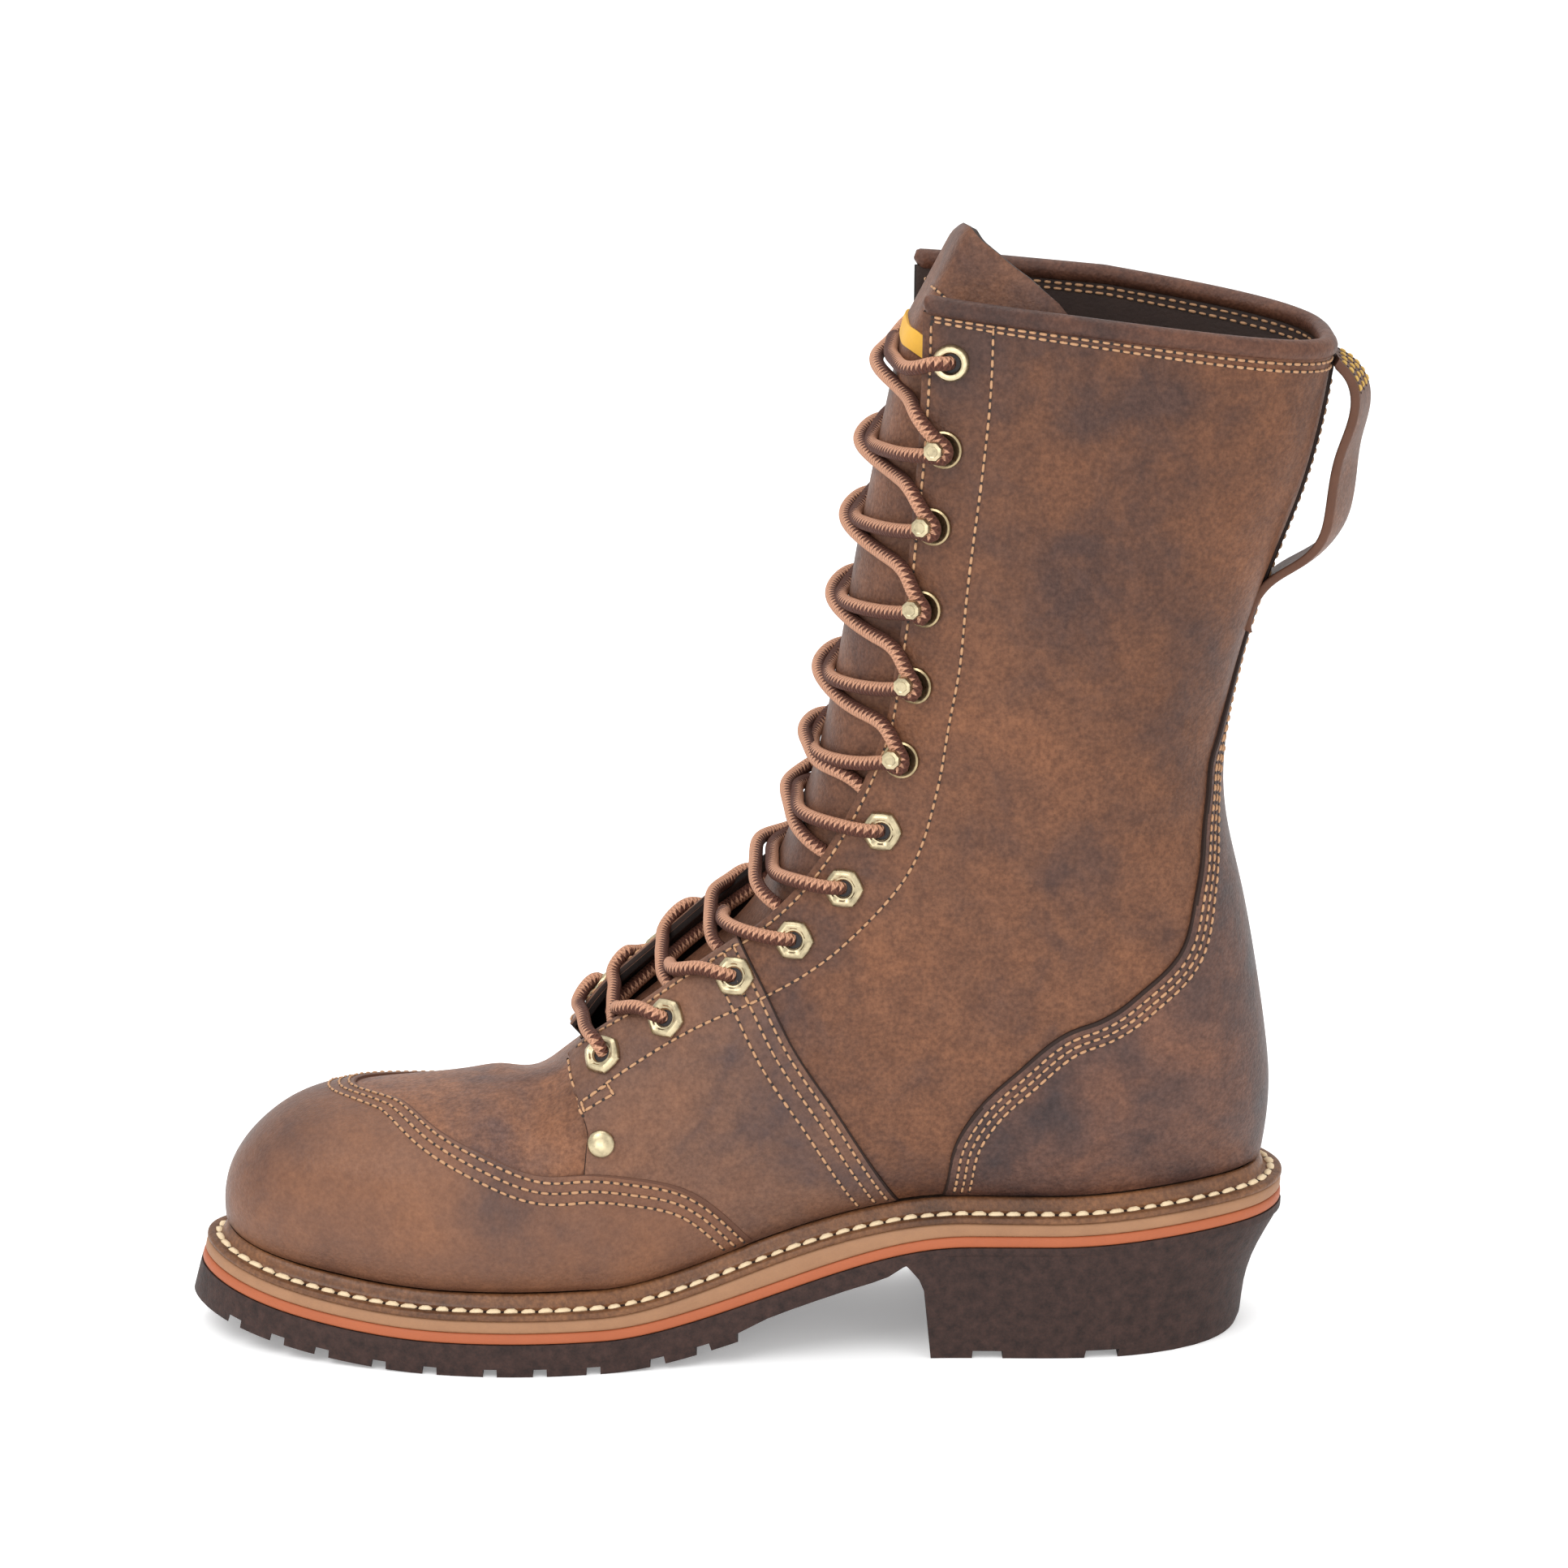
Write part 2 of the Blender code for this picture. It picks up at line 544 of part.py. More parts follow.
for i in range(RINGS):
    for k in range(m):
        a, b = i * m + k, i * m + (k + 1) % m
        c, d = ((i + 1) % RINGS) * m + (k + 1) % m, ((i + 1) % RINGS) * m + k
        welt_f.append((a, b, c, d))
add("welt", welt_v, welt_f, WELT)

# ------------------------------------------------------------- upper
SIDE = 8
cols = ([FACE_V * k / SIDE for k in range(SIDE + 1)] + [FACE_V + (0.5 - FACE_V) / 2, 0.5]
        + [1 - FACE_V - (0.5 - FACE_V) / 2] + [1 - FACE_V * k / SIDE for k in range(SIDE, -1, -1)])
up = Sheet()
cells = []                               # the upper's triangles as places on the last
for a, b in zip(rows, rows[1:]):
    for v0, v1 in zip(cols, cols[1:]):
        if a >= THROAT - 1e-6 and v0 >= FACE_V - 1e-6 and v1 <= 1 - FACE_V + 1e-6:
            continue
        if v0 < 0.5 - 1e-6:
            cells += [((a, v0), (b, v0), (b, v1)), ((a, v0), (b, v1), (a, v1))]
        else:
            cells += [((a, v0), (b, v0), (a, v1)), ((b, v0), (b, v1), (a, v1))]
for cell in cells:
    up.quad(*[up.at(*p) for p in cell])
for a, b in zip(rows, rows[1:]):
    if b <= CORNER + 1e-6:               # lasted margin down inside the welt
        for v, flip in ((0.0, False), (1.0, True)):
            ids = [up.at(a, v, 1.0), up.at(b, v, 1.0), up.at(b, v), up.at(a, v)]
            up.quad(*(ids[::-1] if flip else ids))
shell("upper", up.points(0.0), up.points(-WALL), up.quads, LEATHER)

# ------------------------------------------------------------- toe cap
# Edge of the cap, from the welt to its front:   share of the girth   section
CAP_EDGE = [(0.0, 13.1), (0.118, 12.75), (0.165, 12.15), (0.195, 11.45), (0.210, 10.75),
            (0.238, 10.05), (0.268, 9.5), (0.311, 9.0), (0.403, 8.25), (0.46, 7.8), (0.5, 7.6)]


def cap_edge(v):
    v = v - 0.03 * (1 - abs(2 * v - 1))  # its front lies to the lateral side
    return float(np.interp(min(v, 1 - v), [w for w, t in CAP_EDGE], [t for w, t in CAP_EDGE]))


LOW = 2.4                                # the overlays stop this far above the bead


def girth(t, side, dist):
    """Place on a section dist millimetres up from its start."""
    v = dist * FACE_V / section(t, side)[2]
    return (t, v if side > 0 else 1 - v)


def clip(region, cell):
    """The part of a region of the last inside one triangle of the upper."""
    for (t0, v0), (t1, v1) in zip(cell, cell[1:] + cell[:1]):
        side = [(t1 - t0) * (v - v0) - (v1 - v0) * (t - t0) for t, v in region]
        side = [0.0 if abs(d) < 1e-9 else d for d in side]
        out = []
        for p, q, d, e in zip(region, region[1:] + region[:1], side, side[1:] + side[:1]):
            if d >= 0:
                out.append(p)
            if d * e < 0:
                k = d / (d - e)
                out.append((p[0] + (q[0] - p[0]) * k, p[1] + (q[1] - p[1]) * k))
        region = out
        if len(region) < 3:
            return []
    return region


def overlay(name, regions, mat):
    """Leather cut from between two larger forms of the upper."""
    def lift(t, v):                      # stands off a little more round the heel's lower corner
        w = min(v, 1 - v)
        return 1.1 * float(step((t - 16.4) / 1.2) * step((20.6 - t) / 1.2) * step((0.15 - w) / 0.06))

    high = up.points(lambda t, v: CAP_OUT + lift(t, v))
    low = up.points(lambda t, v: CAP_IN + lift(t, v))
    key, tops, lows, faces = {}, [], [], []
    for cell in cells:
        c = [up.key[Sheet.name(*p)] for p in cell]
        (t0, v0), (t1, v1), (t2, v2) = cell
        whole = (t1 - t0) * (v2 - v0) - (v1 - v0) * (t2 - t0)
        for region in regions:
            ids = []
            for t, v in clip(region, cell):
                k = Sheet.name(t, v)
                if k not in key:
                    b = ((t - t0) * (v2 - v0) - (v - v0) * (t2 - t0)) / whole
                    d = ((t1 - t0) * (v - v0) - (v1 - v0) * (t - t0)) / whole
                    key[k] = len(tops)
                    tops.append(high[c[0]] * (1 - b - d) + high[c[1]] * b + high[c[2]] * d)
                    lows.append(low[c[0]] * (1 - b - d) + low[c[1]] * b + low[c[2]] * d)
                if key[k] not in ids:
                    ids.append(key[k])
            if len(ids) >= 3:
                faces.append(ids)
    return shell(name, np.array(tops), np.array(lows), faces, mat)


halves = []
for side, far in ((1, 0.0), (-1, 1.0)):
    foot = [girth(t, side, LOW) for t in [0.5, 0.75] + list(range(1, 13)) + [12.9]]
    edge = [far + (0.5 - far) * k / 15 for k in range(1, 16)]
    edge = [v for v in edge if abs(v - far) > abs(foot[-1][1] - far) + 0.01]
    halves.append(([(0.5, 0.5)] + foot + [(cap_edge(v), v) for v in edge])[::side])
overlay("toe_cap", halves, LEATHER)

# ------------------------------------------------------------- heel counter
# Edge of the counter and back strip:  section   share of the girth
COUNTER = [(15.05, 0.022), (15.5, 0.093), (16.1, 0.136), (17.0, 0.167), (17.6, 0.180), (18.2, 0.190),
           (19.0, 0.187), (19.7, 0.174), (20.4, 0.152), (21.0, 0.131), (21.9, 0.111), (23.15, 0.077),
           (24.15, 0.053), (25.1, 0.026), (25.6, 0.021), (28.7, 0.021)]
parts = []
for side in (1, -1):
    foot = [girth(t, side, LOW + max(0.0, t - 16.4)) for t in (18.6, 18.0, 17.2, 16.4, 15.7, 15.05)]
    back = 0.0 if side > 0 else 1.0
    parts.append(([(28.7, back), (19.3, back)] + foot
                  + [(t, v if side > 0 else 1 - v) for t, v in COUNTER])[::side])
overlay("heel_counter", parts, LEATHER)


# ------------------------------------------------------------- tongue
def tongue_off(t):
    return -(WALL + 1.3) - 11.0 * max(0.0, (t - 22.0) / 7.0) ** 1.8


TONGUE_T = 3.0
tg_cols = cols[SIDE - 1:len(cols) - SIDE + 1]
tg_rows = [10.6, 11.3, 12.0] + [12.9 + 0.9 * k for k in range(17)] + [28.2]
RISE = [4.0, 22.0, 30.0, 32.0, 30.0, 22.0, 4.0]          # over the collar, across the tongue
LEAN = np.array([-13.0, 0.0, 25.5]) / math.hypot(13.0, 25.5)
sheet = Sheet()
for t in tg_rows:
    for v in tg_cols:
        sheet.at(t, v)
outer = [sheet.points(lambda t, v: tongue_off(t)), sheet.points(lambda t, v: tongue_off(t) - TONGUE_T)]
nc, nr = len(tg_cols), len(tg_rows)
for half in range(2):
    top = outer[half][-nc:]
    for s in (0.25, 0.5, 0.75, 1.0):
        more = np.array([p + LEAN * RISE[k] * s * np.array([1, 1, 1]) for k, p in enumerate(top)])
        more[:, 1] *= 1 - 0.10 * s
        outer[half] = np.vstack([outer[half], more])
quads = [[r * nc + c, (r + 1) * nc + c, (r + 1) * nc + c + 1, r * nc + c + 1]
         for r in range(nr + 3) for c in range(nc - 1)]
shell("tongue", outer[0], outer[1], quads, DARK)


# ------------------------------------------------------------- swept pieces
def tube(name, pts, dia, sides_n, mat, hidden=False, flat=None):
    """A round cord, or a flat strap (width, thickness) lying across Y."""
    pts = np.array(pts, float)
    tan = np.gradient(pts, axis=0)
    tan /= np.linalg.norm(tan, axis=1)[:, None]
    verts, faces = [], []
    ref = np.array([0.0, 1.0, 0.0])
    for p, t in zip(pts, tan):
        if flat is None:
            a = np.cross(t, np.array([0.0, 0.0, 1.0]))
            a /= np.linalg.norm(a)
            b = np.cross(t, a)
            ring = [p + dia / 2 * (math.cos(w) * a + math.sin(w) * b)
                    for w in np.arange(sides_n) * 2 * math.pi / sides_n]
        else:
            a = np.cross(t, ref)
            a /= np.linalg.norm(a)
            w, h = flat[0] / 2, flat[1] / 2
            ring = [p + sx * ref * w + sy * a * h for sx, sy in
                    ((-1, -0.6), (-0.94, -1), (0.94, -1), (1, -0.6), (1, 0.6), (0.94, 1), (-0.94, 1), (-1, 0.6))]
        verts += ring
        n = len(ring)
    for i in range(len(pts) - 1):
        for k in range(n):
            faces.append((i * n + k, i * n + (k + 1) % n, (i + 1) * n + (k + 1) % n, (i + 1) * n + k))
    faces.append(tuple(range(n))[::-1])
    faces.append(tuple((len(pts) - 1) * n + k for k in range(n)))
    return add(name, verts, faces, mat, hidden)


# Rolled binding on the collar's edge.
rim_pts = []
up_dir = np.array([math.sin(math.radians(7.5)), 0.0, math.cos(math.radians(7.5))])
bind_v = [FACE_V - FACE_V * k / 13 for k in range(13)] + [0.0] + [1 - FACE_V * k / 13 for k in range(1, 14)]
for v in bind_v:
    p, n = last_pt(LAST, v), last_normal(LAST, v)
    n[2] = 0
    rim_pts.append(p - n / np.linalg.norm(n) * WALL / 2 + up_dir * (BINDING_D / 2 + 0.35))
tube("collar_binding", rim_pts, BINDING_D, 6, LEATHER)

# Pull loop: strap up the back, standing off and turning in under the binding.
#              x       z
LOOP = spline(range(10), [-148.2, -151.6, -156.9, -164.2, -169.4, -171.0, -172.6, -174.6, -174.0, -170.4])
LOOP_Z = spline(range(10), [214.0, 223.5, 232.0, 237.5, 244.5, 253.5, 263.0, 272.0, 280.0, 285.5])
loop_pts = [(float(LOOP(s)), 0.0, float(LOOP_Z(s))) for s in np.linspace(0, 9, 13)]
tube("pull_loop", loop_pts, 0, 8, LEATHER, flat=(22.0, 2.6))


# ------------------------------------------------------------- eyelets, hooks, rivets
def turned(name, place, normal, profile, sides_n, mat, closed):
    """A turned piece standing on the leather; profile rows are (radius, height)."""
    z = Vector(normal)
    m = z.to_track_quat('Z', 'Y').to_matrix()
    verts, faces, n = [], [], sides_n
    for r, h in profile:
        for w in (np.arange(n) + 0.5) * 2 * math.pi / n:
            verts.append(np.array(place) + np.array(m @ Vector((r * math.cos(w), r * math.sin(w), h))))
    k = len(profile)
    for i in range(k if closed else k - 1):
        j = (i + 1) % k
        for a in range(n):
            b = (a + 1) % n
            faces.append((i * n + a, i * n + b, j * n + b, j * n + a))
    if not closed:
        faces.append(tuple(range(n))[::-1])
        faces.append(tuple((k - 1) * n + a for a in range(n)))
    return add(name, verts, faces, mat)


WASHER = [(EYELET_HOLE / 2, 0.3), (EYELET_D / 2, 0.3), (EYELET_D / 2 - 0.4, 1.2), (EYELET_HOLE / 2, 1.8)]
HOOK = [(HOOK_D / 2, 0.3), (HOOK_D / 2, 1.1), (2.2, 1.6), (2.2, 3.6), (3.4, 4.4), (2.4, 6.0)]
RIVET = [(RIVET_D / 2, 0.3), (RIVET_D / 2 - 0.2, 1.0), (RIVET_D / 4, 1.9)]
# Fastenings up the facing:  section  inset from the facing edge
STATIONS = [(12.4, 11.0), (13.6, 10.0), (14.8, 10.0), (15.8, 10.8), (16.9, 11.2), (18.1, 12.0),
            (19.6, 7.5), (21.3, 7.0), (23.0, 6.5), (24.7, 6.5), (26.3, 7.0), (28.05, 8.5)]
HOOKS = range(6, 11)
for side, word in ((1, "medial"), (-1, "lateral")):
    for k, (t, depth) in enumerate(STATIONS):
        v = FACE_V - v_step(t, 0.2 if side > 0 else 0.8, depth)
        v = v if side > 0 else 1 - v
        p, n = last_pt(t, v), last_normal(t, v)
        if k in HOOKS:
            turned("hook_%s_%d" % (word, k - 5), p, n, HOOK, 6, BRASS, False)
        else:
            turned("eyelet_%s_%d" % (word, k + 1 if k < 6 else 7), p, n, WASHER, 8, BRASS, True)
    t, v = 11.88, 0.242
    v = v if side > 0 else 1 - v
    turned("rivet_%s" % word, last_pt(t, v), last_normal(t, v), RIVET, 10, BRASS, False)


# ------------------------------------------------------------- lace
def strand(t0, t1, side, high):
    """Points across the throat from one facing edge to the other."""
    pts = []
    for q in (0.0, 0.33, 0.67, 1.0):
        t = t0 + (t1 - t0) * q
        v = FACE_V + 0.012 + (1 - 2 * (FACE_V + 0.012)) * q
        v = v if side > 0 else 1 - v
        o = 0.6 + high * math.sin(math.pi * q)
        pts.append(last_pt(t, v) + last_normal(t, v) * o)
    return pts


for k in range(len(STATIONS)):
    t1 = STATIONS[k][0]
    if k == 0:
        tube("lace_bar", strand(t1 + 0.1, t1 + 0.1, 1, 0.6), LACE_D, 6, CORD)
        continue
    t0 = STATIONS[k - 1][0]
    low_t, top_t = t0 + 0.50 * (t1 - t0), t1 - 0.02
    one = tube("lace_cross_%d" % k, strand(low_t, top_t, 1, 0.5), LACE_D, 5, CORD)
    two = tube("lace_guide_%d" % k, strand(low_t, top_t, -1, 3.6), LACE_D, 5, CORD, hidden=True)
    join = one.modifiers.new("crossing", 'BOOLEAN')
    join.operation, join.object, join.solver = 'UNION', two, 'EXACT'
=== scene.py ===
# Lineman boot, right foot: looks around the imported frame.
# Lengths are millimetres in the functions, metres in the meshes.
import math
import bpy
import bmesh
import numpy as np
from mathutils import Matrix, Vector


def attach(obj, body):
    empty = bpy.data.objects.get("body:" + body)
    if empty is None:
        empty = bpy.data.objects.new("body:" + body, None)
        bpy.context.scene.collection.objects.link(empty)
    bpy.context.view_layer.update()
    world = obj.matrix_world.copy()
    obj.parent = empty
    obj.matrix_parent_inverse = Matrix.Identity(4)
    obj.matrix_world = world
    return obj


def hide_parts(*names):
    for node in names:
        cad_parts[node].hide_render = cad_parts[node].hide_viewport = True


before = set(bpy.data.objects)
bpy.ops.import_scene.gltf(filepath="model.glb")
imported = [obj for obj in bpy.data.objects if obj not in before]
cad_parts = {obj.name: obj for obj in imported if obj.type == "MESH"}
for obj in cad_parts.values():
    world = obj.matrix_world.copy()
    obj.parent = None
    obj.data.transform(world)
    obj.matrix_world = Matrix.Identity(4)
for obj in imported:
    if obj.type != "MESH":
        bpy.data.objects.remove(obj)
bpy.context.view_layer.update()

MM = 0.001
SHIFT = np.array([6.17, 3.25, 0.0])

# ------------------------------------------------------------- named sizes
TOE_X, HEEL_X = 161.5, -160.0            # ends of the sole at the outsole's top
TREAD_T = 10.3                           # outsole with its lugs, at the ball
BASE_T = 6.0                             # outsole between the lugs and at the waist
SEAT_T = 2.5                             # outsole over the heel block
BALL_FRONT, BALL_BACK = 86.0, 42.0       # flat stretch under the ball
HEEL_RISE, SEAT_FRONT = 25.0, -66.0      # how much the seat stands over the ball
CUP_FRONT, CUP_RISE, CUP_RUN = -90.0, 3.8, 60.0
TOE_SPRING = 10.0
GAP = 0.3
ACCENT_T = 3.1
MID_T, MID_WAIST = 3.5, 1.7              # midsole, and its extra at the waist
WELT_T = 1.7
BEAD_H = 4.4
WALL = 2.4                               # upper leather with its lining
CAP_IN, CAP_OUT = 0.5, 1.9              # overlay leather above the upper
LACE_D = 5.0
EYELET_D, EYELET_HOLE = 12.0, 5.8
HOOK_D = 10.0
RIVET_D = 8.0
BINDING_D = 6.4

# Sole outline: half-widths either side of the heel-to-toe axis.
#            x     medial  lateral
OUTLINE = [(-152.0, 18.5, 18.5),
           (-138.0, 28.0, 28.0),
           (-118.0, 33.8, 34.0),
           (-90.0, 35.4, 36.0),
           (-55.0, 35.2, 38.5),
           (-20.0, 37.2, 44.0),
           (15.0, 40.8, 51.0),
           (45.0, 46.4, 54.6),
           (68.0, 48.2, 53.6),
           (92.0, 45.8, 48.6),
           (120.0, 38.6, 37.4),
           (142.0, 29.4, 25.4),
           (155.0, 18.4, 13.6)]
TOE_Y = 2.2                              # the toe's tip lies to the medial side


def spline(ts, ys, start=None, end=None):
    """Cubic through the rows; start and end slopes may be fixed."""
    ts, ys = np.asarray(ts, float), np.asarray(ys, float)
    n, h = len(ts), np.diff(ts)
    d = np.diff(ys) / h
    a, r = np.zeros((n, n)), np.zeros(n)
    for i in range(1, n - 1):
        a[i, i - 1], a[i, i + 1] = 1 / h[i - 1], 1 / h[i]
        a[i, i] = 2 * (1 / h[i - 1] + 1 / h[i])
        r[i] = 3 * (d[i - 1] / h[i - 1] + d[i] / h[i])
    a[0, 0], r[0] = 1, start if start is not None else 0
    a[-1, -1], r[-1] = 1, end if end is not None else 0
    if start is None:
        a[0, 0], a[0, 1], r[0] = 2, 1, 3 * d[0]
    if end is None:
        a[-1, -1], a[-1, -2], r[-1] = 2, 1, 3 * d[-1]
    m = np.linalg.solve(a, r)

    def f(t):
        t = np.clip(np.asarray(t, float), ts[0], ts[-1])
        k = np.clip(np.searchsorted(ts, t, side="right") - 1, 0, n - 2)
        u = (t - ts[k]) / h[k]
        return (ys[k] * (1 + 2 * u) * (1 - u) ** 2 + m[k] * h[k] * u * (1 - u) ** 2
                + ys[k + 1] * u * u * (3 - 2 * u) + m[k + 1] * h[k] * u * u * (u - 1))
    return f


def step(u):
    u = np.clip(u, 0.0, 1.0)
    return u * u * (3 - 2 * u)


# ------------------------------------------------------------- the sole's curve
def sole_z(x):
    """Height of the outsole's top along the boot."""
    x = np.asarray(x, float)
    toe = TOE_SPRING * (np.maximum(x - BALL_FRONT, 0) / (TOE_X - BALL_FRONT)) ** 2
    waist = HEEL_RISE * step((BALL_BACK - x) / (BALL_BACK - SEAT_FRONT))
    cup = CUP_RISE * step((CUP_FRONT - x) / CUP_RUN)
    return TREAD_T + toe + waist + cup


def sole_pt(x, y, h):
    """Point at height h square to the sole's curve."""
    s = (sole_z(x + 0.05) - sole_z(x - 0.05)) / 0.1
    c = 1 / np.sqrt(1 + s * s)
    return np.stack(np.broadcast_arrays(x - h * s * c, y, sole_z(x) + h * c), -1)


def closed_curve(pts, count):
    """Even points on a smooth closed curve through pts."""
    p = np.array(pts + pts[:4])
    p = np.vstack([np.array(pts[-3:]), p])
    s = np.concatenate([[0], np.cumsum(np.linalg.norm(np.diff(p, axis=0), axis=1))])
    fx, fy = spline(s, p[:, 0]), spline(s, p[:, 1])
    a, b = s[3], s[3 + len(pts)]
    q = np.linspace(a, b, 4001)
    xy = np.stack([fx(q), fy(q)], 1)
    arc = np.concatenate([[0], np.cumsum(np.linalg.norm(np.diff(xy, axis=0), axis=1))])
    w = np.linspace(0, arc[-1], count, endpoint=False)
    return np.stack([np.interp(w, arc, xy[:, 0]), np.interp(w, arc, xy[:, 1])], 1)


RIM = closed_curve([(HEEL_X, 0.0)] + [(x, m) for x, m, l in OUTLINE] + [(TOE_X, TOE_Y)]
                   + [(x, -l) for x, m, l in reversed(OUTLINE)], 1600)


def inset(curve, dist):
    """The outline moved inwards by dist (a number, or one for each point)."""
    t = np.roll(curve, -1, 0) - np.roll(curve, 1, 0)
    t /= np.linalg.norm(t, axis=1)[:, None]
    return curve - np.stack([-t[:, 1], t[:, 0]], 1) * np.reshape(dist, (-1, 1))


def feather_inset(x):
    """Welt's width from its outer edge to the upper."""
    return 8.8 - 2.8 * step((x - 118.0) / 42.0) - 0.8 * step((-120.0 - x) / 36.0)


FEATHER = inset(RIM, feather_inset(RIM[:, 0]))


def sides(curve):
    """Half-width of a closed outline on each side, as functions of x."""
    i, j = np.argmin(curve[:, 0]), np.argmax(curve[:, 0])
    c = np.roll(curve, -i, 0)
    k = (j - i) % len(curve)
    med, lat = c[:k + 1], np.vstack([c[k:], c[:1]])[::-1]

    def f(x, side):
        one = med if side > 0 else lat
        return np.interp(x, one[:, 0], one[:, 1] * side)
    return f, c[0], c[k]


rim_half, RIM_HEEL, RIM_TOE = sides(RIM)
feather_half, F_HEEL, F_TOE = sides(FEATHER)


def mid_top(x):
    bump = np.exp(-((np.asarray(x, float) + 18.0) / 34.0) ** 2)
    return GAP + ACCENT_T + GAP + MID_T + MID_WAIST * bump


def bead_top(x):
    return mid_top(x) + GAP + WELT_T + BEAD_H


# ------------------------------------------------------------- the last
# One row for each section: the crest (or front) point, where the section starts
# (x along the sole, or z up the back), how far the wall bulges past the feather
# line or its half-width, the height of the widest place as a share of the
# section, the fullness of its upper and lower halves, half of the throat's gap
# and the ridge's shift to the medial side.
#        crest_x crest_z start_x bulge_m bulge_l  wide  up   low   gap  ridge
FOOT = [(151.6, 33.0, None,   0.0,  0.0, 0.36, 2.2, 2.0,  0.0, 2.2),
        (152.4, 38.5, 0.8,    0.4,  0.4, 0.36, 2.2, 2.0,  2.2, 2.2),
        (152.0, 44.2, 3.2,    0.9,  0.9, 0.36, 2.2, 2.0,  4.2, 2.2),
        (150.2, 50.0, 7.2,    1.6,  1.6, 0.36, 2.2, 2.0,  5.8, 2.2),
        (146.3, 56.2, 12.8,   2.4,  2.4, 0.36, 2.25, 2.0, 7.0, 2.2),
        (140.1, 62.4, 20.0,   3.1,  3.1, 0.35, 2.3, 2.0,  7.8, 2.3),
        (131.6, 67.7, 30.0,   3.8,  3.8, 0.34, 2.35, 2.0, 8.2, 2.4),
        (120.0, 71.0, 42.0,   4.4,  4.4, 0.33, 2.35, 2.0, 8.4, 2.5),
        (105.8, 72.3, 56.0,   4.9,  5.1, 0.32, 2.3, 2.0,  8.4, 2.7),
        (90.0, 73.4, 72.0,    5.2,  5.6, 0.31, 2.2, 2.0,  8.4, 3.0),
        (73.5, 75.4, 90.0,    5.2,  5.9, 0.30, 2.1, 2.0,  8.4, 3.0),
        (58.5, 79.8, 111.0,   5.0,  5.8, 0.30, 2.05, 2.0, 8.6, 2.6),
        (47.0, 92.0, 135.0,   5.0,  5.6, 0.30, 3.0, 2.0, 12.6, 2.2),
        (34.0, 104.0, 161.0,  5.2,  5.0, 0.30, 3.5, 2.0, 17.4, 1.8)]
#        crest_x crest_z start   half_m half_l  wide  up   low   gap  ridge
LEG = [(20.5, 116.0, -34.0,    37.2, 40.0, 0.32, 3.6, 2.0,  21.2, 1.4),
       (7.0, 129.5, -62.0,     36.4, 38.0, 0.36, 3.8, 2.0,  24.6, 1.0),
       (-5.5, 145.0, -90.0,    36.4, 37.0, 0.40, 3.7, 2.0,  27.0, 0.6),
       (-14.5, 163.0, -117.0,  37.0, 37.2, 0.44, 3.45, 2.05, 28.6, 0.3),
       (-19.5, 181.0, -142.0,  37.8, 37.8, 0.47, 3.15, 2.1, 29.6, 0.1),
       (-22.5, 197.0, None,    38.6, 38.6, 0.49, 2.85, 2.15, 30.2, 0.0),
       (-24.6, 209.5, 78.0,    39.4, 39.4, 0.50, 2.6, 2.2, 30.6, 0.0),
       (-26.4, 221.0, 102.0,   40.2, 40.2, 0.50, 2.5, 2.2, 30.9, 0.0),
       (-28.1, 232.5, 127.0,   40.8, 40.8, 0.50, 2.4, 2.2, 31.2, 0.0),
       (-29.8, 244.0, 152.0,   41.0, 41.0, 0.50, 2.35, 2.2, 31.5, 0.0),
       (-31.2, 255.5, 177.0,   40.8, 40.8, 0.50, 2.4, 2.2, 31.8, 0.0),
       (-32.2, 267.0, 202.0,   40.2, 40.2, 0.50, 2.55, 2.3, 32.1, 0.0),
       (-32.9, 278.0, 226.0,   39.4, 39.4, 0.50, 2.8, 2.4, 32.5, 0.0),
       (-33.2, 288.5, 249.0,   38.4, 38.4, 0.50, 3.2, 2.55, 32.9, 0.0),
       (-33.2, 298.0, 270.0,   37.4, 37.4, 0.50, 3.65, 2.75, 33.2, 0.0),
       (-33.0, 306.0, 288.5,   36.6, 36.6, 0.50, 4.1, 3.0, 33.4, 0.0)]
# Back line of the upper:  z     x
BACK = [(52.0, -151.8), (64.0, -153.4), (76.0, -153.8), (90.0, -152.4), (113.0, -148.6),
        (138.0, -143.4), (157.0, -138.8), (170.0, -137.4), (184.0, -138.0), (204.0, -141.4),
        (220.0, -145.6), (238.0, -151.6), (256.0, -158.0), (274.0, -162.8), (290.0, -165.4)]

ROWS = FOOT + LEG
LAST = len(ROWS) - 1
CORNER = len(FOOT) + 5                   # the section that starts at the heel's lower corner
THROAT = 11.7                            # the section where the facings part
FACE_V = 0.42                            # facing edge in the surface's own measure
row_ids = np.arange(len(ROWS))


def column(k, **ends):
    return spline(row_ids, [r[k] for r in ROWS], **ends)


crest_x, crest_z = column(0), column(1)
wide_at, full_up, full_low = column(5), column(6), column(7)
half_gap, ridge = column(8), column(9)
_sx = [F_TOE[0]] + [F_TOE[0] - r[2] for r in FOOT[1:]] + [r[2] for r in LEG[:5]] + [F_HEEL[0]]
start_x = spline(range(CORNER + 1), _sx, start=0.0, end=0.0)
HEEL_Z = float(sole_pt(F_HEEL[0], 0.0, bead_top(F_HEEL[0]))[2])
start_z = spline(range(CORNER, LAST + 1), [HEEL_Z] + [r[2] for r in LEG[6:]])
back_x = spline([z for z, x in BACK], [x for z, x in BACK])
HEEL_PT = sole_pt(F_HEEL[0], 0.0, bead_top(F_HEEL[0]))
BACK_FIX = float(HEEL_PT[0] - back_x(HEEL_Z))


